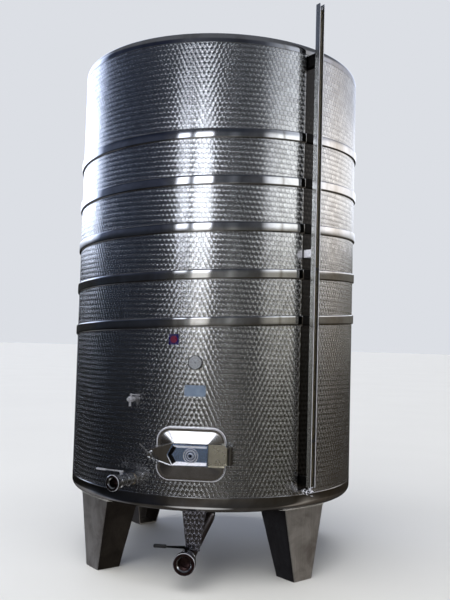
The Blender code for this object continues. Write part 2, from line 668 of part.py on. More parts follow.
def make_drain():
    """Drain: bracket from the bottom head, butterfly valve with its union, disc and lever."""
    stem = (0.0, -DRAIN_MIDDLE, along_drain(DRAIN_MIDDLE))
    lean = cos(radians(DRAIN_SLOPE))
    inlet = (DRAIN_INLET - DRAIN_MIDDLE) / lean
    face = (DRAIN_FACE - DRAIN_MIDDLE) / lean
    body = [(DRAIN_BODY + 0.006, inlet), (DRAIN_BODY + 0.006, inlet + 0.014), (DRAIN_BODY, inlet + 0.018),
            (DRAIN_BODY, face - 0.036), (DRAIN_UNION - 0.005, face - 0.034), (DRAIN_UNION, face - 0.028),
            (DRAIN_UNION, face - 0.005), (DRAIN_UNION - 0.005, face), (DRAIN_BORE + 0.010, face),
            (DRAIN_BORE, face - 0.010), (DRAIN_BORE, inlet)]
    body = turned(body, steps=24, axis="out", at=stem)
    place("drain_valve", body, CAST, DRAIN_ANGLE, DRAIN_SLOPE, pivot=stem)
    disc = turned(disc_profile(DRAIN_BORE), steps=24, closed=False, axis="out", at=stem)
    place("drain_disc", disc, CAST, DRAIN_ANGLE, DRAIN_SLOPE, pivot=stem)
    low = stem[2] + DRAIN_UNION + 0.006
    lever = lever_mesh(DRAIN_LEVER, low, DRAIN_MIDDLE)
    lever = place("drain_lever", lever, CAST, DRAIN_ANGLE, DRAIN_SLOPE, pivot=stem)
    post = turned([(0.0, DRAIN_BODY + SEAT), (0.010, DRAIN_BODY + SEAT), (0.010, DRAIN_UNION + 0.010),
                   (0.0, DRAIN_UNION + 0.010)], steps=12, closed=False, at=stem)
    join(lever, place("drain_stem", post, CAST, DRAIN_ANGLE, DRAIN_SLOPE, pivot=stem))

    top = cone_low(TONGUE_REACH) - 2 * SEAT
    foot = along_drain(TONGUE_REACH) + OUTLET_RADIUS / lean + 2 * SEAT
    outline = [(-TONGUE_FOOT_HALF, foot), (TONGUE_FOOT_HALF, foot),
               (TONGUE_TOP_HALF, top), (-TONGUE_TOP_HALF, top)]
    tongue = slab(outline, TONGUE_REACH - SHEET, TONGUE_REACH)
    place("drain_bracket", tongue, POLISHED, TONGUE_ANGLE)


def make_tap():
    """Sample tap: a radial body with a spout turned down, and a small lever."""
    body = turned([(0.013, ROOT), (0.013, 1.012), (TAP_BODY, 1.014), (TAP_BODY, 1.048), (0.010, 1.052),
                   (0.010, 1.064), (0.0, 1.064)], steps=16, closed=False, axis="out")
    close_back(body)
    seat(body, TAP_ANGLE)
    tap = place("sample_tap", raise_to(body, TAP_HEIGHT), CAST, TAP_ANGLE)
    spout = turned([(0.0, -0.042), (0.007, -0.042), (0.007, 0.0), (0.0, 0.0)], steps=12, closed=False,
                   at=(0.0, -1.040, TAP_HEIGHT))
    join(tap, place("tap_spout", spout, CAST, TAP_ANGLE))
    stem = (0.0, -TAP_STEM, TAP_HEIGHT)
    low = TAP_HEIGHT + 0.026
    half = 0.006
    arm = [(-0.008, -half), (0.060, -half), (0.064, -0.003), (0.064, 0.003), (0.060, half), (-0.008, half)]
    lever = slab([(x, TAP_STEM + y) for x, y in arm], low, low + 0.005, "up")
    lever = place("tap_lever", lever, CAST, TAP_ANGLE, pivot=stem)
    foot = TAP_BODY + SEAT
    post = turned([(0.0, foot), (half, foot), (half, 0.028), (0.0, 0.028)], steps=12, closed=False, at=stem)
    join(lever, place("tap_post", post, CAST, TAP_ANGLE, pivot=stem))


def curved_plate(name, half, height, angle, material):
    """A thin plate that follows the wall."""
    bm = slab(rectangle(half), SEAT, SEAT + PLATE_SHEET)
    fold_at_creases(bm, half[0], angle)
    for vert in bm.verts:
        vert.co.y -= wall_depth(vert.co.x, angle)
    place(name, raise_to(bm, height), material, angle)


def make_instruments():
    """Dial thermometer, blank rating plate and small square plate."""
    radius = THERMOMETER_RADIUS
    profile = [(0.010, ROOT), (0.010, 1.016), (radius - 0.004, 1.018), (radius, 1.022), (radius, 1.036),
               (radius - 0.004, 1.039), (radius - 0.006, 1.036), (0.0, 1.036)]
    dial = turned(profile, steps=24, closed=False, axis="out")
    close_back(dial)
    seat(dial, THERMOMETER_ANGLE)
    place("thermometer", raise_to(dial, THERMOMETER_HEIGHT), DIAL, THERMOMETER_ANGLE)
    curved_plate("rating_plate", PLATE_HALF, PLATE_HEIGHT, PLATE_ANGLE, SLATE)
    curved_plate("square_plate", BADGE_HALF, BADGE_HEIGHT, BADGE_ANGLE, NAVY)


def make_gauge():
    """Level gauge: rail with three brackets, sight tube, cock and cock lever."""
    half = RAIL_HALF
    sheet = RAIL_SHEET
    section = [(-half, RAIL_BACK), (half, RAIL_BACK), (half, RAIL_FRONT), (half - sheet, RAIL_FRONT),
               (half - sheet, RAIL_BACK + sheet), (-half + sheet, RAIL_BACK + sheet),
               (-half + sheet, RAIL_FRONT), (-half, RAIL_FRONT)]
    rail = place("gauge_rail", slab(section, RAIL_LOW, RAIL_HIGH, "up"), BRIGHT, GAUGE_ANGLE)
    for number, (low, high) in enumerate(BRACKET_SPANS):
        outline = rectangle((BRACKET_HALF, (high - low) / 2), (0.0, (high + low) / 2))
        bracket = slab(outline, ROOT, RAIL_BACK + sheet / 2)
        fold_at_creases(bracket, BRACKET_HALF, GAUGE_ANGLE)
        seat(bracket, GAUGE_ANGLE)
        join(rail, place("gauge_bracket_%d" % (number + 1), bracket, BRIGHT, GAUGE_ANGLE))
    foot = COCK_HEIGHT + COCK_BODY + 0.020
    inner = TUBE_RADIUS - TUBE_WALL
    tube = turned([(TUBE_RADIUS, foot + SEAT), (TUBE_RADIUS, RAIL_HIGH - 0.03), (inner, RAIL_HIGH - 0.03),
                   (inner, foot + SEAT)], steps=12, at=(0.0, -TUBE_OUT, 0.0))
    place("gauge_tube", tube, CLEAR, GAUGE_ANGLE)
    body = turned([(0.011, ROOT), (0.011, 1.030), (COCK_BODY, 1.032), (COCK_BODY, COCK_FRONT),
                   (0.0, COCK_FRONT)], steps=12, closed=False, axis="out")
    close_back(body)
    seat(body, GAUGE_ANGLE)
    cock = place("gauge_cock", raise_to(body, COCK_HEIGHT), CAST, GAUGE_ANGLE)
    socket = turned([(0.0, COCK_HEIGHT), (0.013, COCK_HEIGHT), (0.013, foot), (0.0, foot)],
                    steps=12, closed=False, at=(0.0, -TUBE_OUT, 0.0))
    join(cock, place("cock_socket", socket, CAST, GAUGE_ANGLE))
    back = COCK_FRONT + SEAT
    spin = (0.0, -back, COCK_HEIGHT)
    outline = [(-COCK_ARM, -0.006), (0.010, -0.009), (0.014, 0.0), (0.010, 0.009), (-COCK_ARM, 0.006)]
    lever = slab(outline, back, back + 0.008)
    place("cock_lever", raise_to(lever, COCK_HEIGHT), CAST, GAUGE_ANGLE, pivot=spin)


make_shell()
make_heads()
make_coil()
make_legs()
make_frame()
make_door()
make_bar()
make_racking()
make_pipe()
make_drain()
make_tap()
make_instruments()
make_gauge()
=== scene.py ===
# Vertical storage tank of circular-polished stainless sheet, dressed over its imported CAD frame.
# Metres, +Z up, front towards -Y. Pieces are drawn at the front of the tank, facing -Y, and then
# turned round the tank's axis to their place.
from math import asin, atan2, copysign, cos, degrees, hypot, pi, radians, sin, sqrt, tan

import bmesh
import bpy
from mathutils import Matrix, Vector


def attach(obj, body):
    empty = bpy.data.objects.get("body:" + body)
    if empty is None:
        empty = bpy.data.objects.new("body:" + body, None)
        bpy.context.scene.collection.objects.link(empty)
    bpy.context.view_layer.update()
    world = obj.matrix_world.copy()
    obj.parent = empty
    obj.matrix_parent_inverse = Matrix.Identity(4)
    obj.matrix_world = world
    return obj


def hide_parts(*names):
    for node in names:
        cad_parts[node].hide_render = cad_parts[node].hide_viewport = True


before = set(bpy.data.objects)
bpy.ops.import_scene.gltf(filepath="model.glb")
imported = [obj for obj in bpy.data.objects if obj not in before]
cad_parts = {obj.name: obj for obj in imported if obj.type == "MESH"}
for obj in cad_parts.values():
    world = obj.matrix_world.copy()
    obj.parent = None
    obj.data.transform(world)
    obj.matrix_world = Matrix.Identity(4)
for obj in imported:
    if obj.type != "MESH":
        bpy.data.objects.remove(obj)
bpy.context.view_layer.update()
scene = bpy.context.scene

tank = {"radius": 1.0, "axisBack": 0.0379, "sheet": 0.003, "wallLow": 0.553, "wallHigh": 3.356}
# gap between neighbours that touch on the real tank
seat = 0.0003
# fittings on the wall are drawn from this far out, and their inner ends are then laid on it
root = 0.90


# Helpers for materials

def linear(hexColour):
    parts = [int(hexColour[k:k + 2], 16) / 255 for k in (0, 2, 4)]
    return (*[part / 12.92 if part <= 0.04045 else ((part + 0.055) / 1.055) ** 2.4 for part in parts], 1.0)


def plugIn(tree, node, links):
    # a node stands for its first output in use
    for name, source in links.items():
        if isinstance(source, bpy.types.Node):
            source = next(output for output in source.outputs if output.enabled)
        tree.links.new(source, node.inputs[name])


def addNode(tree, kind, settings=None, links=None):
    # a setting or a link named by an input's name or number goes to that input
    node = tree.nodes.new("ShaderNode" + kind)
    for name, value in (settings or {}).items():
        if isinstance(name, int) or name in node.inputs:
            node.inputs[name].default_value = value
        else:
            setattr(node, name, value)
    plugIn(tree, node, links or {})
    return node


def startFinish(name, colour, metallic, roughness, ior=None):
    material = bpy.data.materials.new(name)
    material.use_nodes = True
    tree = material.node_tree
    shader = tree.nodes["Principled BSDF"]
    shader.inputs["Base Color"].default_value = linear(colour)
    shader.inputs["Metallic"].default_value = metallic
    shader.inputs["Roughness"].default_value = roughness
    if ior:
        shader.inputs["IOR"].default_value = ior
    place = addNode(tree, "TexCoord").outputs["Object"]
    return material, tree, shader, place


def perMetre(millimetres):
    # a noise texture's scale for a feature of that size
    return 1000.0 / millimetres


# Circular-polished stainless: overlapping discs of concentric scratches, each of which throws a fan of
# light towards the lamp, so that the wall reads as rows of scales beside every highlight
polish = {"columns": 223, "rowMm": 30.7, "spotMm": 20.0, "colour": "e6e6e5", "dull": "b0afad", "edge": "4e4d4c",
          "roughness": 0.19, "anisotropy": 1.0, "ringMm": 3.0, "waveMm": 320.0, "wave": 0.0015, "dish": 0.00025,
          # where a mark's dull rim starts, how dull it gets, and how much marks and clouds differ
          "rimFrom": 0.78, "rimShade": 0.60, "markShade": 0.30, "cloudShade": 0.35, "cloudMm": 420,
          "ringRough": 0.03, "markRough": 0.02,
          # bearings and heights of the strip beside the gauge rail where the rail's shadow and reflection are
          # painted in a dark tone
          "railShadow": (32.7, 38.0), "railShadowHeights": (0.58, 3.35), "railShadowTone": "3a3836"}


def upperMark(tree, below, above, spot):
    # of two marks that overlap, the one that lies above covers the other within its own radius
    reach = addNode(tree, "VectorMath", {"operation": "LENGTH"}, {0: above})
    inside = addNode(tree, "Math", {"operation": "LESS_THAN", 1: spot}, {0: reach})
    return addNode(tree, "Mix", {"data_type": "VECTOR"}, {0: inside, 4: below, 5: above})


def circularPolish(name, look):
    material, tree, shader, place = startFinish(name, look["colour"], 1.0, look["roughness"])
    shader.inputs["Anisotropic"].default_value = look["anisotropy"]
    width = 2 * pi * tank["radius"] / look["columns"]
    height, spot = look["rowMm"] / 1000, look["spotMm"] / 1000
    split = addNode(tree, "SeparateXYZ", None, {0: place})
    front = addNode(tree, "Math", {"operation": "SUBTRACT", 0: tank["axisBack"]}, {1: split.outputs["Y"]})
    bearing = addNode(tree, "Math", {"operation": "ARCTAN2"}, {0: split.outputs["X"], 1: front})
    across = addNode(tree, "Math", {"operation": "MULTIPLY", 1: look["columns"] / (2 * pi)}, {0: bearing})
    up = addNode(tree, "Math", {"operation": "DIVIDE", 1: height}, {0: split.outputs["Z"]})
    rowBelow = addNode(tree, "Math", {"operation": "FLOOR"}, {0: up})
    picks = []
    for above in (0.0, 1.0):
        # nearest marks to the left and right in the row below, then in the row above
        row = addNode(tree, "Math", {"operation": "ADD", 1: above}, {0: rowBelow})
        odd = addNode(tree, "Math", {"operation": "FLOORED_MODULO", 1: 2.0}, {0: row})
        shifted = addNode(tree, "Math", {"operation": "MULTIPLY_ADD", 1: -0.5}, {0: odd, 2: across})
        part = addNode(tree, "Math", {"operation": "FRACT"}, {0: shifted})
        rise = addNode(tree, "Math", {"operation": "SUBTRACT"}, {0: up, 1: row})
        cell = addNode(tree, "CombineXYZ", None, {"X": part, "Y": rise})
        left = addNode(tree, "VectorMath", {"operation": "MULTIPLY", 1: (width, height, 0.0)}, {0: cell})
        right = addNode(tree, "VectorMath", {"operation": "SUBTRACT", 1: (width, 0.0, 0.0)}, {0: left})
        picks.append(upperMark(tree, left, right, spot))
    offset = upperMark(tree, picks[0], picks[1], spot)
    reach = addNode(tree, "VectorMath", {"operation": "LENGTH"}, {0: offset})

    # light spreads across the scratches, which is along the line from the mark's centre
    apart = addNode(tree, "SeparateXYZ", None, {0: offset})
    sideways = addNode(tree, "CombineXYZ", None, {"X": front, "Y": split.outputs["X"]})
    unit = addNode(tree, "VectorMath", {"operation": "NORMALIZE"}, {0: sideways})
    level = addNode(tree, "VectorMath", {"operation": "SCALE"}, {0: unit, "Scale": apart.outputs["X"]})
    lift = addNode(tree, "CombineXYZ", None, {"Z": apart.outputs["Y"]})
    along = addNode(tree, "VectorMath", {"operation": "ADD"}, {0: level, 1: lift})

    # each mark's rim is a little duller, and no two marks are quite alike
    rim = addNode(tree, "MapRange", {1: spot * look["rimFrom"], 2: spot, 3: 0.0, 4: look["rimShade"]},
                  {0: reach})
    whole = addNode(tree, "CombineXYZ", None, {"X": across, "Y": up})
    home = addNode(tree, "VectorMath", {"operation": "MULTIPLY", 1: (1 / width, 1 / height, 0.0)}, {0: offset})
    centre = addNode(tree, "VectorMath", {"operation": "SUBTRACT"}, {0: whole, 1: home})
    centre = addNode(tree, "VectorMath", {"operation": "MULTIPLY_ADD", 1: (2.0, 1.0, 0.0), 2: (0.5, 0.5, 0.0)},
                     {0: centre})
    centre = addNode(tree, "VectorMath", {"operation": "FLOOR"}, {0: centre})
    chance = addNode(tree, "TexWhiteNoise", {"noise_dimensions": "3D"}, {"Vector": centre})
    cloud = addNode(tree, "TexNoise", {"Scale": perMetre(look["cloudMm"]), "Detail": 3.0}, {"Vector": place})
    dull = addNode(tree, "Math", {"operation": "MULTIPLY", 1: look["markShade"]}, {0: chance})
    dull = addNode(tree, "Math", {"operation": "MULTIPLY_ADD", 1: look["cloudShade"], "use_clamp": True},
                   {0: cloud, 2: dull})
    tint = addNode(tree, "Mix", {"data_type": "RGBA", 6: linear(look["colour"]), 7: linear(look["dull"])},
                   {0: dull})
    tint = addNode(tree, "Mix", {"data_type": "RGBA", 7: linear(look["edge"])}, {0: rim, 6: tint})
    # painted shadow: beside the gauge rail the wall's colour is mixed to a dark tone
    within = [addNode(tree, "Math", {"operation": "COMPARE", 1: (low + high) / 2, 2: (high - low) / 2},
                      {0: source})
              for source, (low, high) in ((bearing, [radians(degree) for degree in look["railShadow"]]),
                                          (split.outputs["Z"], look["railShadowHeights"]))]
    railShadow = addNode(tree, "Math", {"operation": "MULTIPLY"}, {0: within[0], 1: within[1]})
    tint = addNode(tree, "Mix", {"data_type": "RGBA", 7: linear(look["railShadowTone"])}, {0: railShadow, 6: tint})
    ring = addNode(tree, "Math", {"operation": "MULTIPLY", 1: 2 * pi * perMetre(look["ringMm"])}, {0: reach})
    ring = addNode(tree, "Math", {"operation": "SINE"}, {0: ring})
    rough = addNode(tree, "Math", {"operation": "MULTIPLY_ADD", 1: look["ringRough"], 2: look["roughness"]},
                    {0: ring})
    rough = addNode(tree, "Math", {"operation": "MULTIPLY_ADD", 1: look["markRough"]}, {0: chance, 2: rough})
    # the sheet isn't quite flat, so reflections waver, and the pad leaves each mark slightly dished
    wave = addNode(tree, "TexNoise", {"Scale": perMetre(look["waveMm"]), "Detail": 1.0}, {"Vector": place})
    bump = addNode(tree, "Bump", {"Strength": 1.0, "Distance": look["wave"]}, {"Height": wave})
    dish = addNode(tree, "Math", {"operation": "DIVIDE", 1: spot}, {0: reach})
    dish = addNode(tree, "Math", {"operation": "POWER", 1: 2.0}, {0: dish})
    bump = addNode(tree, "Bump", {"Strength": 1.0, "Distance": look["dish"]}, {"Height": dish, "Normal": bump})
    plugIn(tree, shader, {"Base Color": tint, "Roughness": rough, "Tangent": along, "Normal": bump})
    return material


# what most steels here share: smudges, a grain whose sizes run along x, y and z, and a slow waver
steelBase = {"metallic": 1.0, "smudgeMm": 20.0, "grainMm": (3.0, 3.0, 3.0), "grainShade": 0.10,
             "grainDepth": 0.00003, "waveMm": 60.0, "wave": 0.0001}


def steelFinish(name, look):
    look = {**steelBase, **look}
    low, high = look["roughness"]
    material, tree, shader, place = startFinish(name, look["colour"], look["metallic"], low)
    smudge = addNode(tree, "TexNoise", {"Scale": perMetre(look["smudgeMm"]), "Detail": 5.0, "Roughness": 0.6,
                                        "Distortion": 0.6}, {"Vector": place})
    spread = addNode(tree, "MapRange", {1: 0.40, 2: 0.72}, {0: smudge})
    tint = addNode(tree, "Mix", {"data_type": "RGBA", 6: linear(look["colour"]), 7: linear(look["shade"])},
                   {0: spread})
    scaled = addNode(tree, "Mapping", {"Scale": [perMetre(size) for size in look["grainMm"]]},
                     {"Vector": place})
    grain = addNode(tree, "TexNoise", {"Scale": 1.0, "Detail": 3.0}, {"Vector": scaled})
    fleck = addNode(tree, "MapRange", {1: 0.3, 2: 0.7, 3: 1.0 - look["grainShade"], 4: 1.0}, {0: grain})
    shaded = addNode(tree, "VectorMath", {"operation": "SCALE"}, {0: tint, "Scale": fleck})
    rough = addNode(tree, "MapRange", {1: 0.35, 2: 0.75, 3: low, 4: high}, {0: smudge})
    wave = addNode(tree, "TexNoise", {"Scale": perMetre(look["waveMm"]), "Detail": 1.0}, {"Vector": place})
    soft = addNode(tree, "Bump", {"Strength": 1.0, "Distance": look["wave"]}, {"Height": wave})
    fine = addNode(tree, "Bump", {"Strength": 0.25, "Distance": look["grainDepth"]},
                   {"Height": grain, "Normal": soft})
    plugIn(tree, shader, {"Base Color": shaded, "Roughness": rough, "Normal": fine})
    return material


steelLooks = {
    # bright annealed sheet: near-mirror, with the mill's faint lines and a slow waver in what it reflects
    "brightAnnealedSteel": {"colour": "cfcfd0", "shade": "b3b1ae", "roughness": (0.045, 0.10),
                            "smudgeMm": 160.0, "grainMm": (3.0, 3.0, 60.0), "grainShade": 0.05,
                            "waveMm": 240.0, "wave": 0.0012},
    # mill-finish sheet inside the tank: cold rolled, evenly matt
    "millFinishSteel": {"colour": "b4b3b0", "shade": "9c9a96", "roughness": (0.36, 0.46), "smudgeMm": 220.0,
                        "grainMm": (5.0, 5.0, 90.0), "grainShade": 0.08, "grainDepth": 0.00004,
                        "waveMm": 400.0, "wave": 0.0010},
    # leg sheet: ground along its length, with smears where it has been wiped and handled
    "groundLegSteel": {"colour": "cbc7c3", "shade": "968f89", "roughness": (0.28, 0.38), "smudgeMm": 150.0,
                       "grainMm": (4.0, 4.0, 180.0), "grainShade": 0.20, "grainDepth": 0.00004,
                       "waveMm": 260.0, "wave": 0.0006, "metallic": 0.85},
    # sides of the legs: darker than their fronts, as painted shade
    "paintedShadeLegSteel": {"colour": "6f6b69", "shade": "4b4745", "roughness": (0.30, 0.40), "smudgeMm": 220.0,
                        "grainMm": (4.0, 4.0, 180.0), "grainShade": 0.20, "grainDepth": 0.00004,
                        "waveMm": 260.0, "wave": 0.0006},
    # drain pipe and the valves' discs, and the unions' flat fronts: dark brown, as painted shade
    "stainedPipeSteel": {"colour": "5a4543", "shade": "3a2b2a", "roughness": (0.30, 0.42), "waveMm": 40.0},
    # cast fittings polished after machining: bright and a little uneven
    "polishedCastSteel": {"colour": "c8c8c9", "shade": "a2a09e", "roughness": (0.12, 0.24), "smudgeMm": 22.0,
                          "grainShade": 0.06, "waveMm": 30.0},
    # weld beads: rippled and tinted straw and blue by their heat
    "heatTintedWeld": {"colour": "b9aa90", "shade": "6d6f7e", "roughness": (0.30, 0.45), "smudgeMm": 18.0,
                       "grainShade": 0.25, "grainDepth": 0.0003, "waveMm": 12.0, "wave": 0.0004},
    # door panel: pressed from bright sheet, then buffed, so that its sloping faces mirror whole
    "buffedPanelSteel": {"colour": "d2d1d0", "shade": "b9b6b2", "roughness": (0.10, 0.20), "smudgeMm": 90.0,
                         "grainMm": (40.0, 3.0, 3.0), "grainShade": 0.05, "waveMm": 120.0, "wave": 0.0004},
    # back of the gauge rail and parts behind or under things: near-black, as painted shade
    "rolledDullSteel": {"colour": "2c2a29", "shade": "1c1b1a", "roughness": (0.50, 0.62), "smudgeMm": 60.0,
                        "grainMm": (4.0, 4.0, 40.0), "grainShade": 0.15, "grainDepth": 0.00006,
                        "waveMm": 90.0, "wave": 0.0002},
    # channel on the door's bar: brushed bright, with a blue-grey cast that is a painted reflection of the cool
    # room
    "paintedBlueReflectionSteel": {"colour": "b2cbf0", "shade": "9cb4da", "roughness": (0.20, 0.28), "smudgeMm": 50.0,
                        "grainMm": (60.0, 6.0, 6.0), "grainShade": 0.06, "grainDepth": 0.00001, "waveMm": 90.0},
    # hinge end of the door's bar: straw tint from the heat of its welds
    "strawTintedSteel": {"colour": "e4deca", "shade": "d2cab4", "roughness": (0.26, 0.32), "smudgeMm": 70.0,
                         "grainMm": (14.0, 14.0, 220.0), "grainDepth": 0.000001, "waveMm": 90.0},
    # gauge rail: folded from brushed sheet, so that its narrow faces shine evenly
    "brushedRailSteel": {"colour": "c0c0bc", "shade": "adada8", "roughness": (0.20, 0.26), "smudgeMm": 90.0,
                         "grainMm": (3.0, 3.0, 200.0), "grainShade": 0.08, "grainDepth": 0.00001,
                         "waveMm": 300.0, "wave": 0.0002, "metallic": 0.95},
    # edges of the frame, the door and the rail, rounded: near-white and mostly matt, a painted highlight that
    # the lamps light from every side
    "paintedHighlightEdgeSteel": {"colour": "f0f0f8", "shade": "dedee8", "roughness": (0.25, 0.35), "smudgeMm": 40.0,
                        "grainDepth": 0.00002, "metallic": 0.20},
    # turned edges of the unions, the sample tap and the racking valve's lever: half matt and pale, a painted
    # highlight that the lamps light
    "turnedEdgeSteel": {"colour": "c6c6cc", "shade": "aeaeb6", "roughness": (0.25, 0.35),
                        "grainDepth": 0.00002, "metallic": 0.50},
    # weld beads ground back by hand: pale and matt, so that they catch light from every side
    "groundWeldBead": {"colour": "e2dfd8", "shade": "bdb9b0", "roughness": (0.40, 0.55), "smudgeMm": 16.0,
                       "grainShade": 0.20, "grainDepth": 0.0002, "waveMm": 12.0, "wave": 0.0003,
                       "metallic": 0.45},
}

# what most plastics, paints and anodised plates here share: a mottled colour and a fine surface
plainBase = {"metallic": 0.0, "ior": 1.50, "mottleMm": 20.0, "grainMm": 1.0, "depth": 0.00002}


def plainFinish(name, look):
    look = {**plainBase, **look}
    middle, swing = look["roughness"], 0.06
    material, tree, shader, place = startFinish(name, look["colour"], look["metallic"], middle, look["ior"])
    mottle = addNode(tree, "TexNoise", {"Scale": perMetre(look["mottleMm"]), "Detail": 4.0}, {"Vector": place})
    spread = addNode(tree, "MapRange", {1: 0.35, 2: 0.70}, {0: mottle})
    tint = addNode(tree, "Mix", {"data_type": "RGBA", 6: linear(look["colour"]), 7: linear(look["shade"])},
                   {0: spread})
    rough = addNode(tree, "MapRange", {1: 0.3, 2: 0.7, 3: middle - swing, 4: middle + swing}, {0: mottle})
    grain = addNode(tree, "TexNoise", {"Scale": perMetre(look["grainMm"]), "Detail": 2.0}, {"Vector": place})
    bump = addNode(tree, "Bump", {"Strength": 0.3, "Distance": look["depth"]}, {"Height": grain})
    plugIn(tree, shader, {"Base Color": tint, "Roughness": rough, "Normal": bump})
    return material


plainLooks = {
    # moulded silicone seal: white, soft, slightly grey where it is touched
    "whiteSiliconeSeal": {"colour": "dededa", "shade": "c2c1bb", "roughness": 0.50, "ior": 1.43,
                          "mottleMm": 25.0, "grainMm": 2.0, "depth": 0.0001},
    # dipped PVC grip: black with a soft shine
    "blackGripPlastic": {"colour": "151516", "shade": "202021", "roughness": 0.42, "ior": 1.53,
                         "mottleMm": 12.0, "grainMm": 1.5, "depth": 0.0001},
    # enamelled dial: pale lavender grey
    "paleDialEnamel": {"colour": "868a97", "shade": "7b7f8d", "roughness": 0.35},
    # printing ink on the dial: flat near-black
    "dialInk": {"colour": "24242c", "shade": "30303a", "roughness": 0.55, "mottleMm": 6.0, "depth": 0.00001},
    # anodised aluminium plate: pale blue-grey, bare
    "anodisedPlate": {"colour": "8797ab", "shade": "79899e", "roughness": 0.36, "metallic": 0.55,
                      "mottleMm": 35.0, "grainMm": 1.2, "depth": 0.00003},
    # enamelled badge: deep navy
    "navyEnamel": {"colour": "1b1447", "shade": "17113c", "roughness": 0.28},
    # the badge's plain disc: deep red enamel
    "redEnamel": {"colour": "5e082a", "shade": "520624", "roughness": 0.30},
}


def clearFinish(name, look):
    material, tree, shader, place = startFinish(name, look["colour"], 0.0, look["roughness"], look["ior"])
    shader.inputs["Transmission Weight"].default_value = 0.9
    haze = addNode(tree, "TexNoise", {"Scale": perMetre(look["hazeMm"]), "Detail": 3.0}, {"Vector": place})
    haze = addNode(tree, "MapRange", {1: 0.3, 2: 0.8, 3: look["roughness"] * 0.6, 4: look["roughness"] * 2.2},
                   {0: haze})
    plugIn(tree, shader, {"Roughness": haze})
    return material


clearLooks = {
    # extruded acrylic sight tube: aged to a faint straw, hazed by years of washing
    "agedAcrylicTube": {"colour": "b9ac8c", "roughness": 0.12, "ior": 1.49, "hazeMm": 18},
    # the dial's float glass: clear and flat
    "dialGlass": {"colour": "f4f6f7", "roughness": 0.03, "ior": 1.52, "hazeMm": 18},
}

finishes = {"circularPolishedSteel": circularPolish("circularPolishedSteel", polish),
            # offcut of the same sheet under the tank, its colours darkened as painted shade
            "darkPolishedSteel": circularPolish("darkPolishedSteel", {
                **polish, "colour": "a3a1a8", "dull": "7d7b82", "edge": "45444a"})}
for make, looks in ((steelFinish, steelLooks), (plainFinish, plainLooks), (clearFinish, clearLooks)):
    finishes.update({name: make(name, look) for name, look in looks.items()})
print("finishes made:", len(finishes))


# Helpers for shapes

def placeAt(angle, lift=0.0, tilt=0.0, pivot=(0.0, 0.0, 0.0)):
    # from the front of the tank to a place round its axis
    lean = (Matrix.Translation(pivot) @ Matrix.Rotation(radians(tilt), 4, "X")
            @ Matrix.Translation(-Vector(pivot)))
    return (Matrix.Translation((0.0, tank["axisBack"], 0.0)) @ Matrix.Rotation(radians(angle), 4, "Z")
            @ lean @ Matrix.Translation((0.0, 0.0, lift)))


def addPiece(name, bm, finish, body, nodes=(), place=None, sharp=35.0, flats=True, recalculate=True):
    if recalculate:
        bmesh.ops.recalc_face_normals(bm, faces=bm.faces)
    if place is not None:
        bmesh.ops.transform(bm, matrix=place, verts=bm.verts)
    mesh = bpy.data.meshes.new(name)
    bm.to_mesh(mesh)
    bm.free()
    for each in (finish if isinstance(finish, (list, tuple)) else [finish]):
        mesh.materials.append(finishes[each])
    mesh.shade_smooth()
    mesh.set_sharp_from_angle(angle=radians(sharp))
    piece = bpy.data.objects.new(name, mesh)
    scene.collection.objects.link(piece)
    if flats:
        # flat faces stay flat beside their rounded edges
        even = piece.modifiers.new("evenFlats", "WEIGHTED_NORMAL")
        even.keep_sharp = True
    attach(piece, body)
    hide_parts(*nodes)
    return piece


def copyOf(node):
    # a CAD node's own shape, its loose triangles merged and its flats whole again
    bm = bmesh.new()
    bm.from_mesh(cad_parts[node].data)
    bmesh.ops.remove_doubles(bm, verts=bm.verts, dist=0.00001)
    bmesh.ops.dissolve_limit(bm, angle_limit=radians(0.5), verts=bm.verts, edges=bm.edges)
    return bm


def roundEdges(bm, width, segments=2, over=35.0, chosen=None):
    bm.normal_update()
    edges = [edge for edge in bm.edges if edge.is_manifold and edge.calc_face_angle(0.0) > radians(over)
             and (chosen is None or chosen(edge))]
    bmesh.ops.bevel(bm, geom=edges, offset=width, offset_type="OFFSET", segments=segments, profile=0.5,
                    affect="EDGES", material=-1, clamp_overlap=True, loop_slide=True)
    return bm


def spinProfile(points, steps=48, closed=False, facing="up", at=(0.0, 0.0, 0.0)):
    # points are radius and distance along the axis
    bm = bmesh.new()
    verts = [bm.verts.new((radius, 0.0, along)) for radius, along in points]
    edges = [bm.edges.new(pair) for pair in zip(verts, verts[1:])]
    if closed:
        edges.append(bm.edges.new((verts[-1], verts[0])))
    bmesh.ops.spin(bm, geom=verts + edges, cent=(0, 0, 0), axis=(0, 0, 1), angle=2 * pi, steps=steps,
                   use_merge=True)
    bmesh.ops.remove_doubles(bm, verts=bm.verts, dist=0.000001)
    bmesh.ops.recalc_face_normals(bm, faces=bm.faces)
    if facing == "out":
        bmesh.ops.rotate(bm, cent=(0, 0, 0), matrix=Matrix.Rotation(radians(90), 3, "X"), verts=bm.verts)
    bmesh.ops.translate(bm, verts=bm.verts, vec=at)
    return bm


def addTo(bm, other, place=None):
    # joins a second mesh into the first
    if place is not None:
        bmesh.ops.transform(other, matrix=place, verts=other.verts)
    mesh = bpy.data.meshes.new("joined")
    other.to_mesh(mesh)
    other.free()
    bm.from_mesh(mesh)
    bpy.data.meshes.remove(mesh)
    return bm


def roundedPlate(half, corner, segments=8, out=0.0):
    # one face towards the front
    bm = bmesh.new()
    corners = [bm.verts.new((side * half[0], -out, lift * half[1]))
               for side, lift in ((-1, -1), (1, -1), (1, 1), (-1, 1))]
    bm.faces.new(corners)
    bmesh.ops.bevel(bm, geom=corners, offset=corner, offset_type="OFFSET", segments=segments, profile=0.5,
                    affect="VERTICES", material=-1)
    return bm


def thicken(bm, shift):
    # makes a solid of open faces by drawing them through a distance
    grown = bmesh.ops.extrude_face_region(bm, geom=bm.faces[:], use_keep_orig=True)["geom"]
    moved = [item for item in grown if isinstance(item, bmesh.types.BMVert)]
    bmesh.ops.translate(bm, verts=moved, vec=shift)
    bmesh.ops.recalc_face_normals(bm, faces=bm.faces)
    return bm


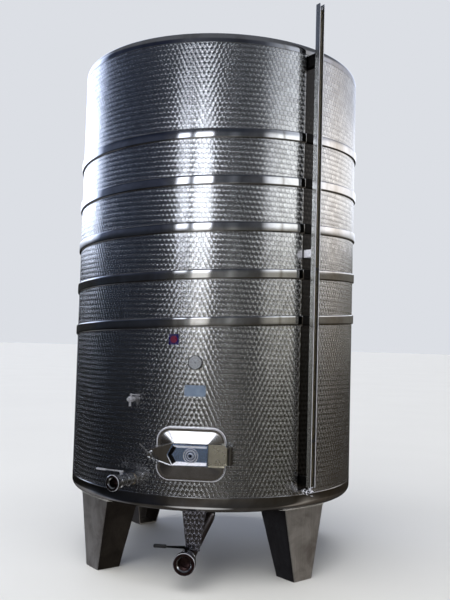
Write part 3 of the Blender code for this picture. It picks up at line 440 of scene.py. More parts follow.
def pull(bm, faces, shift):
    # draws some faces of a surface out or in
    grown = bmesh.ops.extrude_face_region(bm, geom=faces)["geom"]
    bmesh.ops.delete(bm, geom=faces, context="FACES_ONLY")
    moved = [item for item in grown if isinstance(item, bmesh.types.BMVert)]
    bmesh.ops.translate(bm, verts=moved, vec=shift)
    return [item for item in grown if isinstance(item, bmesh.types.BMFace)]


def reshape(verts, half, corner, newHalf, newCorner):
    # slides the points of a rounded outline to another one, corner for corner
    for vert in verts:
        side, lift = copysign(1.0, vert.co.x), copysign(1.0, vert.co.z)
        swingX = (vert.co.x - side * (half[0] - corner)) / corner
        swingZ = (vert.co.z - lift * (half[1] - corner)) / corner
        vert.co.x = side * (newHalf[0] - newCorner) + swingX * newCorner
        vert.co.z = lift * (newHalf[1] - newCorner) + swingZ * newCorner


def insetOutline(bm, half, corner, margin):
    # insets the single face and gives the inner face, which is central and has the most corners, with
    # its half sizes and corner
    face = bm.faces[:]
    bmesh.ops.inset_region(bm, faces=face, thickness=margin, use_even_offset=True, use_boundary=True)
    bm.faces.ensure_lookup_table()
    inner = min(bm.faces, key=lambda each: each.calc_center_median().length_squared * 1000 - len(each.verts))
    return inner, (half[0] - margin, half[1] - margin), corner - margin


def ringPlate(outer, outerCorner, clear, clearCorner, out):
    # a flat ring between two rounded outlines
    bm = roundedPlate(outer, outerCorner, 8, out)
    inner = insetOutline(bm, outer, outerCorner, 0.01)
    reshape(inner[0].verts, inner[1], inner[2], clear, clearCorner)
    bmesh.ops.delete(bm, geom=[inner[0]], context="FACES_ONLY")
    return bm


def outlineGap(spot, half, corner):
    # distance in from a rounded outline
    return corner - hypot(max(abs(spot.x) - half[0] + corner, 0.0), max(abs(spot.z) - half[1] + corner, 0.0))


def markRim(bm, half, corner, width):
    # gives the rounded outer edge of a plate its own finish, the pale painted highlight
    bm.normal_update()
    for face in bm.faces:
        if outlineGap(face.calc_center_median(), half, corner) < width and -0.985 < face.normal.y < -0.10:
            face.material_index = 1


def ontoWall(bm, gap=0.0006, behind=0.95):
    # seats the points drawn inside the wall on the round wall
    for vert in bm.verts:
        if -vert.co.y < behind:
            vert.co.y = -(sqrt(tank["radius"] ** 2 - vert.co.x ** 2) + gap)
    return bm


def sliceAcross(bm, half, count):
    # cuts upright lines across, so that a back can follow the round wall
    for k in range(1, count):
        bmesh.ops.bisect_plane(bm, geom=bm.verts[:] + bm.edges[:] + bm.faces[:], dist=0.0001,
                               plane_co=(-half + 2 * half * k / count, 0, 0), plane_no=(1, 0, 0))
    return bm


def meshOf(curve):
    # the mesh that a curve or a text makes
    holder = bpy.data.objects.new("holder", curve)
    mesh = bpy.data.meshes.new_from_object(holder)
    bm = bmesh.new()
    bm.from_mesh(mesh)
    bpy.data.objects.remove(holder)
    bpy.data.curves.remove(curve)
    bpy.data.meshes.remove(mesh)
    return bm


def rodThrough(points, radius, sides=4):
    # a round rod or weld bead through some points
    curve = bpy.data.curves.new("rod", "CURVE")
    curve.dimensions = "3D"
    curve.bevel_depth = radius
    curve.bevel_resolution = sides
    curve.use_fill_caps = True
    line = curve.splines.new("POLY")
    line.points.add(len(points) - 1)
    for spot, point in zip(line.points, points):
        spot.co = (*point, 1.0)
    bm = meshOf(curve)
    bmesh.ops.remove_doubles(bm, verts=bm.verts, dist=0.000001)
    return bm


# Round wall

# facets round the wall and the bearing where they start; the manway's opening is some facets wide and
# lies between two heights
shellLook = {"steps": 216, "first": -17.0, "hatchSteps": 12, "hatch": (0.692, 0.936)}


def makeShell(look):
    radius = tank["radius"]
    turn = radians(look["first"])
    heights = (tank["wallLow"], *look["hatch"], tank["wallHigh"])
    bm = bmesh.new()
    verts = [bm.verts.new((radius * sin(turn), -radius * cos(turn), height)) for height in heights]
    edges = [bm.edges.new(pair) for pair in zip(verts, verts[1:])]
    bmesh.ops.spin(bm, geom=verts + edges, cent=(0, 0, 0), axis=(0, 0, 1), angle=2 * pi, steps=look["steps"],
                   use_merge=True)
    bmesh.ops.remove_doubles(bm, verts=bm.verts, dist=0.00001)
    hatch = []
    for face in bm.faces:
        middle = face.calc_center_median()
        ahead = (degrees(atan2(middle.x, -middle.y)) - look["first"]) % 360.0
        level = look["hatch"][0] < middle.z < look["hatch"][1]
        if level and ahead < look["hatchSteps"] * 360.0 / look["steps"]:
            hatch.append(face)
    bmesh.ops.delete(bm, geom=hatch, context="FACES")
    bmesh.ops.recalc_face_normals(bm, faces=bm.faces)
    bmesh.ops.solidify(bm, geom=bm.faces[:], thickness=tank["sheet"])
    for face in bm.faces:
        middle = face.calc_center_median()
        face.material_index = 0 if hypot(middle.x, middle.y) > radius - 0.0005 else 1
    nodes = ["shell_below_door", "shell_above_door"] + ["shell_wall_%d" % (k + 1) for k in range(8)]
    addPiece("shell", bm, ["circularPolishedSteel", "millFinishSteel"], "tank", nodes,
             placeAt(0.0), flats=False, recalculate=False)
    for number, height in enumerate((tank["wallLow"], tank["wallHigh"])):
        # seam bead between wall and head
        bead = [(radius, height - 0.003), (radius + 0.0009, height - 0.0015), (radius + 0.0012, height),
                (radius + 0.0009, height + 0.0015), (radius, height + 0.003)]
        addPiece("seamWeld%d" % (number + 1), spinProfile(bead, look["steps"], closed=True),
                 "brightAnnealedSteel", "tank", (), placeAt(0.0), flats=False)


makeShell(shellLook)
print("wall done")


# Spiral cooling channel

coilLook = {"turns": 5, "pitch": 0.2923, "frontLow": 2.752, "height": 0.065, "steps": 144,
            # each turn runs nearly once round, from just past the back
            "start": -181.99, "sweep": 359.98,
            # bearings of the part behind the gauge rail, which takes the near-black finish as painted shade
            "behindRail": (32.9, 38.1),
            # distance out from the wall and up, for the lower half of the pressed section
            "section": ((0.0003, 0.0), (0.0050, 0.0006), (0.0085, 0.0020), (0.0101, 0.0038), (0.0107, 0.0060),
                        (0.0110, 0.0120))}


def makeCoil(look):
    rise = look["pitch"] / 360.0
    lower = list(look["section"]) + [(0.0111, look["height"] / 2)]
    section = lower + [(out, look["height"] - up) for out, up in reversed(look["section"])]
    for number in range(look["turns"]):
        start, sweep = look["start"], look["sweep"]
        low = look["frontLow"] - number * look["pitch"] + start * rise
        facing = Vector((sin(radians(start)), -cos(radians(start)), 0.0))
        bm = bmesh.new()
        verts = [bm.verts.new(facing * (tank["radius"] + out) + Vector((0, 0, low + up)))
                 for out, up in section]
        face = bm.faces.new(verts)
        bmesh.ops.spin(bm, geom=[face] + list(face.verts) + list(face.edges), cent=(0, 0, 0), axis=(0, 0, 1),
                       angle=radians(sweep), steps=look["steps"], dvec=(0, 0, rise * sweep / look["steps"]),
                       use_merge=False)
        low, high = look["behindRail"]
        # painted shade behind the gauge rail
        for face in bm.faces:
            middle = face.calc_center_median()
            face.material_index = 1 if low < degrees(atan2(middle.x, -middle.y)) < high else 0
        addPiece("coolingTurn%d" % (number + 1), bm, ["brightAnnealedSteel", "rolledDullSteel"], "tank",
                 ["cooling_channel_%d" % (number + 1)], placeAt(0.0), flats=False, sharp=50.0)


makeCoil(coilLook)
print("cooling channel done")


# Heads, neck and lid

headLook = {"knuckle": 0.05, "low": 0.510, "high": 3.380, "bottomSlope": 8.0, "roofSlope": 10.0,
            "outlet": 0.0425, "neck": 0.200, "neckSheet": 0.004, "neckTop": 3.620, "lid": 0.212, "top": 3.700,
            "steps": 216, "bend": 14}


def headProfile(look, upward):
    side = 1.0 if upward else -1.0
    level = look["high"] if upward else look["low"]
    slope = look["roofSlope"] if upward else look["bottomSlope"]
    inner = look["neck"] - look["neckSheet"] if upward else look["outlet"]
    edge = tank["wallHigh"] + seat if upward else tank["wallLow"] - seat
    skins = []
    for inset in (0.0, tank["sheet"]):
        bend = look["knuckle"] - inset
        skin = [(tank["radius"] - inset, edge)]
        for step in range(look["bend"] + 1):
            turn = radians((90.0 - slope) * step / look["bend"])
            skin.append((tank["radius"] - look["knuckle"] + bend * cos(turn), level + side * bend * sin(turn)))
        radius, height = skin[-1]
        skin.append((inner, height + side * (radius - inner) * tan(radians(slope))))
        skins.append(skin)
    return skins[0] + skins[1][::-1]


def coneLow(radius):
    # underside of the bottom head's cone
    look = headLook
    turn = radians(90.0 - look["bottomSlope"])
    edge = tank["radius"] - look["knuckle"] + look["knuckle"] * cos(turn)
    return look["low"] - look["knuckle"] * sin(turn) - (edge - radius) * tan(radians(look["bottomSlope"]))


def makeHeads(look):
    for name, node, upward in (("bottomHead", "bottom_head", False), ("roofHead", "roof_head", True)):
        bm = spinProfile(headProfile(look, upward), look["steps"], closed=True)
        addPiece(name, bm, "brightAnnealedSteel", "tank", [node], placeAt(0.0), flats=False)
    base = max(height for radius, height in headProfile(look, True)) + seat
    radius, top = look["neck"], look["neckTop"]
    inner = radius - look["neckSheet"]
    neck = [(inner, base), (radius, base), (radius, top - 0.012), (radius + 0.004, top - 0.010),
            (radius + 0.006, top - 0.006), (radius + 0.004, top - 0.001), (radius, top), (inner, top)]
    addPiece("roofNeck", spinProfile(neck, 96, closed=True), "brightAnnealedSteel", "tank",
             ["roof_neck"], placeAt(0.0))
    bead = [(radius, base), (radius + 0.006, base), (radius + 0.004, base + 0.004), (radius, base + 0.006)]
    addPiece("neckWeld", spinProfile(bead, 96, closed=True), "heatTintedWeld", "tank", (),
             placeAt(0.0), flats=False)
    low, edge, top = look["neckTop"] + seat, look["lid"], look["top"]
    lid = [(0.0, low), (edge - 0.006, low), (edge - 0.001, low + 0.001), (edge, low + 0.004),
           (edge - 0.002, low + 0.008), (edge - 0.008, low + 0.009), (edge - 0.016, low + 0.008),
           (edge * 0.86, low + 0.012), (edge * 0.62, low + 0.021), (edge * 0.36, low + 0.027),
           (0.033, low + 0.030), (0.030, low + 0.034), (0.030, top - 0.014), (0.034, top - 0.014),
           (0.041, top - 0.012), (0.042, top - 0.006), (0.038, top - 0.002), (0.024, top), (0.0, top)]
    addPiece("roofLid", spinProfile(lid, 96), "brightAnnealedSteel", "tank", ["roof_lid"],
             placeAt(0.0), sharp=45.0)


makeHeads(headLook)
print("heads done")


# Folded legs

legLook = {"angles": (39.0, 127.0, 219.0, 307.0), "foot": (0.080, 0.160, 0.955), "top": (0.175, 0.225, 0.956),
           "sheet": 0.006, "fold": 0.009, "plate": 0.008, "bead": 0.0045,
           # height of the uncut sheet, and one between the foot and the cut
           "uncut": 0.45, "between": 0.2}


def makeLegs(look):
    half, depth, reach = look["foot"]
    topHalf, topDepth, topReach = look["top"]
    for number, angle in enumerate(look["angles"]):
        bm = bmesh.new()
        low = [bm.verts.new((x, -out, 0.0)) for x, out in
               ((-half, reach - depth), (-half, reach), (half, reach), (half, reach - depth))]
        high = [bm.verts.new((x, -out, look["uncut"])) for x, out in
                ((-topHalf, topReach - topDepth), (-topHalf, topReach), (topHalf, topReach),
                 (topHalf, topReach - topDepth))]
        for k in range(3):
            bm.faces.new((low[k], low[k + 1], high[k + 1], high[k]))
        flat = [edge for edge in bm.edges if abs(edge.verts[0].co.z - edge.verts[1].co.z) < 0.01]
        bmesh.ops.subdivide_edges(bm, edges=flat, cuts=5, use_grid_fill=True)
        folds = [edge for edge in bm.edges if edge.is_manifold and edge.calc_face_angle(0.0) > radians(45)]
        bmesh.ops.bevel(bm, geom=folds, offset=look["fold"], offset_type="OFFSET", segments=4, profile=0.5,
                        affect="EDGES", material=-1)
        # the top edge is cut to the head's form
        for vert in bm.verts:
            if vert.co.z > look["between"]:
                vert.co.z = coneLow(hypot(vert.co.x, vert.co.y)) - 0.0006
        bmesh.ops.recalc_face_normals(bm, faces=bm.faces)
        front = min(bm.faces, key=lambda face: face.calc_center_median().y)
        if front.normal.y > 0:
            bmesh.ops.reverse_faces(bm, faces=bm.faces)
        topLine = sorted([vert.co.copy() for vert in bm.verts if vert.co.z > look["between"]],
                         key=lambda spot: atan2(spot.x, -(spot.y + (topReach - topDepth) - 0.02)))
        bmesh.ops.solidify(bm, geom=bm.faces[:], thickness=look["sheet"])
        roundEdges(bm, 0.0012, 1, 60.0)
        bm.normal_update()
        # painted shade: faces turned sideways take the dark leg finish
        for face in bm.faces:
            face.material_index = 1 if abs(face.normal.x) > 0.80 else 0
        inner = reach - depth
        plate = bmesh.new()
        bmesh.ops.create_cube(plate, size=1.0)
        wide, deep = 2 * (half - look["sheet"]) + 0.004, depth - look["sheet"] + 0.001
        bmesh.ops.transform(plate, verts=plate.verts, matrix=Matrix.Translation(
            (0.0, -(inner + deep / 2), look["plate"] / 2)) @ Matrix.Diagonal((wide, deep, look["plate"], 1.0)))
        roundEdges(plate, 0.001, 2)
        addTo(bm, plate)
        addPiece("leg%d" % (number + 1), bm, ["groundLegSteel", "paintedShadeLegSteel"], "tank",
                 ["leg_%d" % (number + 1)], placeAt(angle), recalculate=False)
        bead = rodThrough([spot - Vector((0, 0, 0.001)) for spot in topLine], look["bead"])
        addPiece("legWeld%d" % (number + 1), bead, "groundWeldBead", "tank", (), placeAt(angle),
                 flats=False)


makeLegs(legLook)
print("legs done")


# Manway: frame, seal, door panel, bar, channel, boss, hinge and latch

doorLook = {"angle": -7.0, "height": 0.814, "frame": (0.212, 0.161), "frameCorner": 0.085, "frameFront": 1.020,
            "clear": (0.168, 0.114), "clearCorner": 0.045, "sealDepth": 0.007, "sealMargin": 0.006,
            "panel": (0.205, 0.154), "panelCorner": 0.078, "brim": 0.018, "rise": 0.017, "pressed": 0.0140,
            "plateau": (0.108, 0.067), "plateauCorner": 0.009, "sheet": 0.003,
            "barDeep": 0.016, "barSheet": 0.004, "channelSheet": 0.003, "channelSlope": (0.020, 0.014),
            "strawFrom": 0.1095, "bossRadius": 0.046, "stud": 0.008, "hinge": (0.2385, 1.052), "pin": 0.008,
            "latchAcross": -0.243, "latchFront": 0.012}


def doorLayers(look):
    # how far out from the axis each layer's front or back lies
    seal = look["frameFront"] + seat + look["sealDepth"]
    barBack = seal + seat + look["rise"] + look["sheet"] + seat
    web = barBack + look["barSheet"] + seat
    return {"seal": seal, "panel": seal + seat + look["sheet"], "web": web,
            "boss": web + look["channelSheet"] + seat, "latch": barBack + look["barDeep"] + look["latchFront"]}


def makeManway(look):
    place = placeAt(look["angle"], look["height"])
    out = doorLayers(look)
    makeFrame(look, out, place)
    makePanel(look, out, place)
    makeDoorSheet(look, place)
    makeBoss(look, out, place)
    makeHinge(look, place)
    makeLatch(look, out, place)


def makeFrame(look, out, place):
    front = look["frameFront"]
    bm = ringPlate(look["frame"], look["frameCorner"], look["clear"], look["clearCorner"], front)
    sliceAcross(bm, look["frame"][0], 14)
    thicken(bm, (0.0, front - root, 0.0))
    ontoWall(bm)
    # only the outer edge is rounded, the opening's stays crisp
    roundEdges(bm, 0.005, 5, 50.0, lambda edge: all(-vert.co.y > front - 0.0001 for vert in edge.verts) and any(
        abs(vert.co.x) > look["clear"][0] + 0.0015 or abs(vert.co.z) > look["clear"][1] + 0.0015
        for vert in edge.verts))
    markRim(bm, look["frame"], look["frameCorner"], 0.0035)
    addPiece("manwayFrame", bm, ["brightAnnealedSteel", "paintedHighlightEdgeSteel"], "tank",
             ["manway_frame"], place)

    margin = look["sealMargin"]
    bm = ringPlate([size - 2 * margin for size in look["frame"]], look["frameCorner"] - 2 * margin,
                   [size + margin for size in look["clear"]], look["clearCorner"] + margin, out["seal"])
    thicken(bm, (0.0, look["sealDepth"], 0.0))
    roundEdges(bm, 0.0022, 3, 50.0)
    addPiece("manwaySeal", bm, "whiteSiliconeSeal", "manway_door", ["manway_seal"], place)


def makePanel(look, out, place):
    bm = roundedPlate(look["panel"], look["panelCorner"], 8, out["panel"])
    inner, innerHalf, innerCorner = insetOutline(bm, look["panel"], look["panelCorner"], look["brim"])
    plateau = pull(bm, [inner], (0.0, -look["pressed"], 0.0))[0]
    reshape(plateau.verts, innerHalf, innerCorner, look["plateau"], look["plateauCorner"])
    bm.normal_update()
    creases = [edge for edge in bm.edges if edge.is_manifold and edge.calc_face_angle(0.0) > radians(4)
               and abs(edge.verts[0].co.y - edge.verts[1].co.y) < 0.001]
    bmesh.ops.bevel(bm, geom=creases, offset=0.004, offset_type="OFFSET", segments=4, profile=0.5,
                    affect="EDGES", material=-1)
    bmesh.ops.recalc_face_normals(bm, faces=bm.faces)
    if max(bm.faces, key=lambda face: face.calc_area()).normal.y > 0:
        bmesh.ops.reverse_faces(bm, faces=bm.faces)
    bmesh.ops.solidify(bm, geom=bm.faces[:], thickness=look["sheet"])
    roundEdges(bm, 0.0014, 3, 60.0)
    markRim(bm, look["panel"], look["panelCorner"], 0.0025)
    addPiece("manwayPanel", bm, ["buffedPanelSteel", "paintedHighlightEdgeSteel"], "manway_door",
             ["manway_panel"], place, sharp=30.0, recalculate=False)


def tintBar(bm, look, lay):
    # the hinge end of the bar has taken a straw tint
    bmesh.ops.bisect_plane(bm, geom=bm.verts[:] + bm.edges[:] + bm.faces[:], dist=0.0001,
                           plane_co=lay @ Vector((look["strawFrom"], 0, 0)),
                           plane_no=lay.to_3x3() @ Vector((1, 0, 0)))
    for face in bm.faces:
        face.material_index = 1 if (lay.inverted() @ face.calc_center_median()).x > look["strawFrom"] else 0


def slopeChannel(bm, look, lay):
    # the lips run down to the web in slopes; the hinge end is open
    ahead = lay.to_3x3() @ Vector((0, -1, 0))
    bm.normal_update()
    web = max((face for face in bm.faces if face.normal.dot(ahead) > 0.9), key=lambda face: face.calc_area())
    for vert in web.verts:
        spot = lay.inverted() @ vert.co
        spot.z -= copysign(min(look["channelSlope"][1], abs(spot.z)), spot.z)
        spot.x += look["channelSlope"][0] if spot.x < 0.0 else 0.0
        vert.co = lay @ spot
    bm.normal_update()
    # painted light: the web takes the blue-grey painted reflection, sideways slopes the near-black painted
    # shade, and up- and down-facing slopes and the lips' front ends the pale painted highlight
    for face in bm.faces:
        facing = lay.to_3x3().inverted() @ face.normal
        if face != web and -0.95 < facing.y < -0.30:
            face.material_index = 2 if abs(facing.x) > abs(facing.z) else 1
        elif facing.y < -0.95 and abs((lay.inverted() @ face.calc_center_median()).z) > 0.03:
            face.material_index = 1


def makeDoorSheet(look, lay):
    # flat and folded sheet, whose shape is the CAD's own
    for name, node, finish, body, width, change in (
            ("manwayBar", "manway_bar", ["brightAnnealedSteel", "strawTintedSteel"], "manway_door", 0.0010,
             tintBar),
            ("manwayChannel", "manway_channel", ["paintedBlueReflectionSteel", "paintedHighlightEdgeSteel", "rolledDullSteel"],
             "manway_door", 0.0009, slopeChannel),
            ("hingeBracket", "hinge_bracket", "brightAnnealedSteel", "tank", 0.0015, None),
            ("latchKeeper", "latch_keeper", "brightAnnealedSteel", "tank", 0.0015, None)):
        bm = copyOf(node)
        if change:
            change(bm, look, lay)
        roundEdges(bm, width, 2, 25.0)
        addPiece(name, bm, finish, body, [node])


def makeBoss(look, out, place):
    # a shallow dish with a raised middle and two grooves
    radius = look["bossRadius"]
    boss = [(0.0, 0.0), (radius, 0.0), (radius, 0.0034), (0.0454, 0.0040), (0.0446, 0.0040), (0.0400, 0.0012),
            (0.0350, 0.0012), (0.0340, 0.0022), (0.0335, 0.0072), (0.0325, 0.0080), (0.0312, 0.0080),
            (0.0290, 0.0060), (0.0268, 0.0080), (0.0198, 0.0080), (0.0178, 0.0062), (0.0158, 0.0080),
            (0.0136, 0.0082), (0.0129, 0.0150), (0.0119, 0.0160), (0.0085, 0.0160), (0.0073, 0.0150),
            (0.0062, 0.0040), (0.0, 0.0040)]
    bm = spinProfile(boss, 48, facing="out")
    bm.normal_update()
    for face in bm.faces:
        # painted light: front faces take the blue-grey painted reflection, faces that don't face the front the
        # pale painted highlight, and the recessed stud the near-black painted shade
        middle = face.calc_center_median()
        face.material_index = 2 if middle.xz.length < look["stud"] else 1 if abs(face.normal.y) < 0.93 else 0
    bmesh.ops.translate(bm, verts=bm.verts, vec=(0.004, -out["boss"], -0.004))
    addPiece("manwayBoss", bm, ["paintedBlueReflectionSteel", "turnedEdgeSteel", "rolledDullSteel"], "manway_door",
             ["manway_boss"], place, sharp=25.0)


def makeHinge(look, place):
    across, out = look["hinge"]
    tube, bore, half = 0.0139, 0.0085, 0.0534
    knuckle = [(bore, -half), (tube - 0.001, -half), (tube, -half + 0.001), (tube, half - 0.001),
               (tube - 0.001, half), (bore, half)]
    bm = spinProfile(knuckle, 32, closed=True, at=(across, -out, 0.0))
    addPiece("hingeKnuckle", bm, "brightAnnealedSteel", "manway_door", ["hinge_knuckle"], place)
    radius, half = look["pin"], half + seat
    bm = spinProfile([(0.0, -half), (radius, -half), (radius, half), (0.0, half)], 24)
    for turn in (pi, 0.0):
        cap = spinProfile([(0.0, 0.0662), (0.0095, 0.0662), (0.0105, 0.0675), (0.0095, 0.0705), (0.006, 0.0722),
                           (0.0, 0.0726)], 24)
        addTo(bm, cap, Matrix.Rotation(turn, 4, "X"))
    bmesh.ops.translate(bm, verts=bm.verts, vec=(across, -out, 0.0))
    addPiece("hingePin", bm, "polishedCastSteel", "tank", ["hinge_pin"], place)


def makeLatch(look, out, place):
    across, web, front = look["latchAcross"], out["web"], out["latch"]
    spindle = [(0.0, 0.994), (0.006, 0.994), (0.007, 0.995), (0.007, web), (0.0125, web), (0.014, web + 0.001),
               (0.014, front - 0.006), (0.012, front - 0.002), (0.010, front), (0.0, front)]
    bm = spinProfile(spindle, 32, facing="out", at=(across, 0.0, 0.0))
    for k in range(9):
        # thread behind the bar
        low = 1.000 + k * 0.003
        ridge = [(0.0070, low), (0.0078, low + 0.001), (0.0070, low + 0.002)]
        addTo(bm, spinProfile(ridge, 20, facing="out", at=(across, 0.0, 0.0)))
    addPiece("latchSpindle", bm, "polishedCastSteel", "latch_screw", ["latch_spindle"],
             place, sharp=30.0)
    # handle: a single rod up to the left, and a loop of two rods down to the right
    reach, gap, rod, stubby, depth = 0.082, 0.0062, 0.0032, 0.0058, front + seat + 0.006
    lay = Matrix.Translation((across, -depth, 0.0)) @ Matrix.Rotation(radians(45.0), 4, "Y")
    spine = [(-reach, 0.0), (-reach + 0.004, 0.0), (-0.010, 0.0)]
    bend = [(reach - gap - rod + gap * cos(radians(turn)), gap * sin(radians(turn)))
            for turn in range(-90, 91, 15)]
    loop = [(-0.002, -gap)] + bend + [(-0.002, gap)]
    spine, loop = ([lay @ Vector((u, 0.0, v)) for u, v in line] for line in (spine, loop))
    bm = roundEdges(rodThrough(spine, stubby, sides=5), 0.0020, 3, 60.0)
    addTo(bm, rodThrough(loop, rod, sides=4))
    hub = [(0.0, depth - 0.006), (0.011, depth - 0.006), (0.0125, depth - 0.004), (0.0125, depth + 0.003),
           (0.010, depth + 0.006), (0.0, depth + 0.0065)]
    addTo(bm, spinProfile(hub, 32, facing="out", at=(across, 0.0, 0.0)))
    addPiece("teeHandle", bm, "polishedCastSteel", "latch_screw", ["tee_handle"], place)


makeManway(doorLook)
print("manway done")


# Valves with slotted unions

def slottedNut(outer, inner, near, far, slots=4, steps=48):
    # union nut: a ring with its rims rounded and slots for a hook spanner
    soft = min(0.003, (far - near) / 4)
    ring = [(inner, near), (outer - soft, near), (outer, near + soft), (outer, far - soft), (outer - soft, far),
            (inner, far)]
    bm = spinProfile(ring, steps, closed=True)
    bm.normal_update()
    for face in bm.faces:
        # painted highlight and shade: the rounded rim takes the pale half-matt finish and the flat front the
        # dark brown one
        middle = face.calc_center_median()
        if middle.z > far - soft * 0.9:
            face.material_index = 2 if abs(face.normal.z) > 0.95 else 1
    for slot in range(slots):
        bearing = 2 * pi * (slot + 0.5) / slots
        away = Vector((cos(bearing), sin(bearing), 0.0))
        faces = [face for face in bm.faces if (near + soft < face.calc_center_median().z < far - soft)
                 and face.calc_center_median().xy.length > outer * 0.97
                 and face.calc_center_median().normalized().dot(away) > cos(pi / steps * 2.2)]
        pull(bm, faces, -away * 0.005)
    return bm


def hexBolt(radius, length):
    # six-sided head with its edges broken, drawn upright
    bm = bmesh.new()
    bmesh.ops.create_cone(bm, cap_ends=True, segments=6, radius1=radius, radius2=radius, depth=length,
                          matrix=Matrix.Translation((0, 0, length / 2)))
    roundEdges(bm, radius * 0.12, 1, 50.0)
    return bm


rackingLook = {"angle": -29.5, "height": 0.635, "stub": 1.055, "middle": 1.105, "face": 1.195, "bore": 0.0275,
               "body": 0.040, "union": 0.049, "nutDeep": 0.034, "threadPitch": 0.0036, "lever": 0.190,
               "gripHigh": 0.009}
drainLook = {"angle": -8.0, "slope": 3.0, "face": 1.050, "height": 0.168, "inlet": 0.945, "middle": 0.985,
             "bore": 0.040, "body": 0.050, "union": 0.068, "nutDeep": 0.034, "threadPitch": 0.0036,
             "lever": 0.200, "gripHigh": 0.020, "pipe": 0.0425, "bend": 0.075}


def valveBody(look, near, face, middle):
    # two bolted flanges, a round body, a threaded end and its union nut; near, middle and face are how
    # far out the inlet, the stem and the union's face lie
    body, union, bore = look["body"], look["union"], look["bore"]
    profile = [(bore, near), (body + 0.003, near), (body + 0.004, near + 0.001), (body + 0.004, near + 0.0068),
               (body + 0.003, near + 0.0078), (body + 0.003, near + 0.0084), (body + 0.004, near + 0.0094),
               (body + 0.004, near + 0.015), (body + 0.003, near + 0.016), (body - 0.003, near + 0.0175),
               (body - 0.004, near + 0.020), (body - 0.004, middle + 0.016), (body - 0.002, middle + 0.018),
               (body, middle + 0.020), (body, middle + 0.026), (body - 0.002, middle + 0.028)]
    nutBack = face - look["nutDeep"]
    ridge = middle + 0.030
    while ridge < nutBack - 0.002:
        # rounded thread of the hose end
        profile += [(body - 0.006, ridge), (body - 0.0035, ridge + 0.0014), (body - 0.006, ridge + 0.0028)]
        ridge += look["threadPitch"]
    profile += [(body - 0.006, face - 0.006), (bore + 0.006, face - 0.004), (bore + 0.004, face - 0.007),
                (bore, face - 0.010)]
    bm = spinProfile(profile, 64, closed=True)
    addTo(bm, slottedNut(union, bore + 0.0075, nutBack, face, steps=64))
    lip = [(bore + 0.0070, face - 0.012), (bore + 0.0105, face - 0.012), (bore + 0.0105, face - 0.002),
           (bore + 0.0090, face - 0.001), (bore + 0.0070, face - 0.002)]
    addTo(bm, spinProfile(lip, 64, closed=True))
    for k in range(4):
        turn = Matrix.Rotation(radians(45 + 90 * k), 4, "Z")
        for end, flip in ((near + 0.0150, 0.0), (near + 0.0009, pi)):
            # a head on one flange and a nut behind the other
            spot = Matrix.Translation((body - 0.0015, 0.0, end))
            addTo(bm, hexBolt(0.0048, 0.0042), turn @ spot @ Matrix.Rotation(flip, 4, "X"))
    bmesh.ops.rotate(bm, cent=(0, 0, 0), matrix=Matrix.Rotation(radians(90), 3, "X"), verts=bm.verts)
    return bm


def leverArm(length, low, gripHigh):
    # flat arm to the left of the stem, on its hub; drawn about the stem, height from the stem's foot
    bm = bmesh.new()
    hub = [(0.0, low - 0.004), (0.0115, low - 0.004), (0.013, low - 0.002), (0.013, low + 0.0055),
           (0.011, low + 0.007), (0.0045, low + 0.007), (0.0040, low + 0.0062), (0.0, low + 0.0062)]
    addTo(bm, spinProfile(hub, 32))
    arm = bmesh.new()
    verts = [arm.verts.new((along, across, low + 0.001)) for along, across in
             ((-length * 0.66, -0.0055), (-0.006, -0.0085), (-0.006, 0.0085), (-length * 0.66, 0.0055))]
    arm.faces.new(verts)
    thicken(arm, (0.0, 0.0, gripHigh * 0.4))
    for vert in arm.verts:
        if vert.co.x > -0.01 and vert.co.z > low + 0.002:
            vert.co.z += gripHigh * 0.3
    roundEdges(arm, 0.0008, 2)
    addTo(bm, arm)
    handle = bmesh.new()
    middle = Matrix.Translation((-length * 0.80, 0.0, low - 0.003 + gripHigh / 2))
    bmesh.ops.create_cube(handle, size=1.0,
                          matrix=middle @ Matrix.Diagonal((length * 0.40, 0.022, gripHigh, 1.0)))
    sides = [edge for edge in handle.edges if abs(edge.verts[0].co.z - edge.verts[1].co.z) > 0.001]
    bmesh.ops.bevel(handle, geom=sides, offset=0.0085, offset_type="OFFSET", segments=6, profile=0.5,
                    affect="EDGES", material=-1)
    roundEdges(handle, gripHigh * 0.3, 4, 60.0)
    return bm, handle


def makeRacking(look):
    place = placeAt(look["angle"], look["height"])
    inner = look["bore"] + 0.005
    outer = inner + tank["sheet"]
    flange = look["stub"] - 0.009
    body, end = look["body"], look["stub"]
    stub = [(inner, root), (outer, root), (outer, flange - 0.004), (outer + 0.002, flange),
            (body - 0.001, flange), (body, flange + 0.001), (body, end - 0.001), (body - 0.001, end),
            (inner, end)]
    bm = ontoWall(spinProfile(stub, 64, closed=True, facing="out"))
    addPiece("rackingStub", bm, "brightAnnealedSteel", "tank", ["racking_stub"], place)
    bead = ontoWall(spinProfile([(outer - 0.001, root), (outer + 0.004, root), (outer + 0.003, 1.0035),
                                 (outer - 0.001, 1.005)], 48, closed=True, facing="out"), 0.0002)
    addPiece("rackingWeld", bead, "heatTintedWeld", "tank", (), place, flats=False)
    bm = valveBody(look, end + seat, look["face"], look["middle"])
    addPiece("rackingValve", bm, ["polishedCastSteel", "turnedEdgeSteel", "stainedPipeSteel"], "tank",
             ["racking_valve"], place, sharp=30.0)
    stem = place @ Matrix.Translation((0.0, -look["middle"], 0.0))
    makeDisc("racking", look, stem)
    # painted highlight: the racking valve's lever takes the pale half-matt finish
    makeLever("racking", look, stem, "turnedEdgeSteel", "turnedEdgeSteel")


def makeDisc(name, look, place):
    radius = look["bore"] - 0.0008
    disc = [(0.0, -0.0020), (radius * 0.5, -0.0019), (radius - 0.003, -0.0012), (radius, -0.0006),
            (radius, 0.0006), (radius - 0.003, 0.0012), (radius * 0.5, 0.0019), (0.0, 0.0020)]
    bm = spinProfile(disc, 48, facing="out")
    # painted shade: the disc inside the bore takes the dark brown finish
    addPiece(name + "Disc", bm, "stainedPipeSteel", name + "_handle", [name + "_disc"],
             place, flats=False)


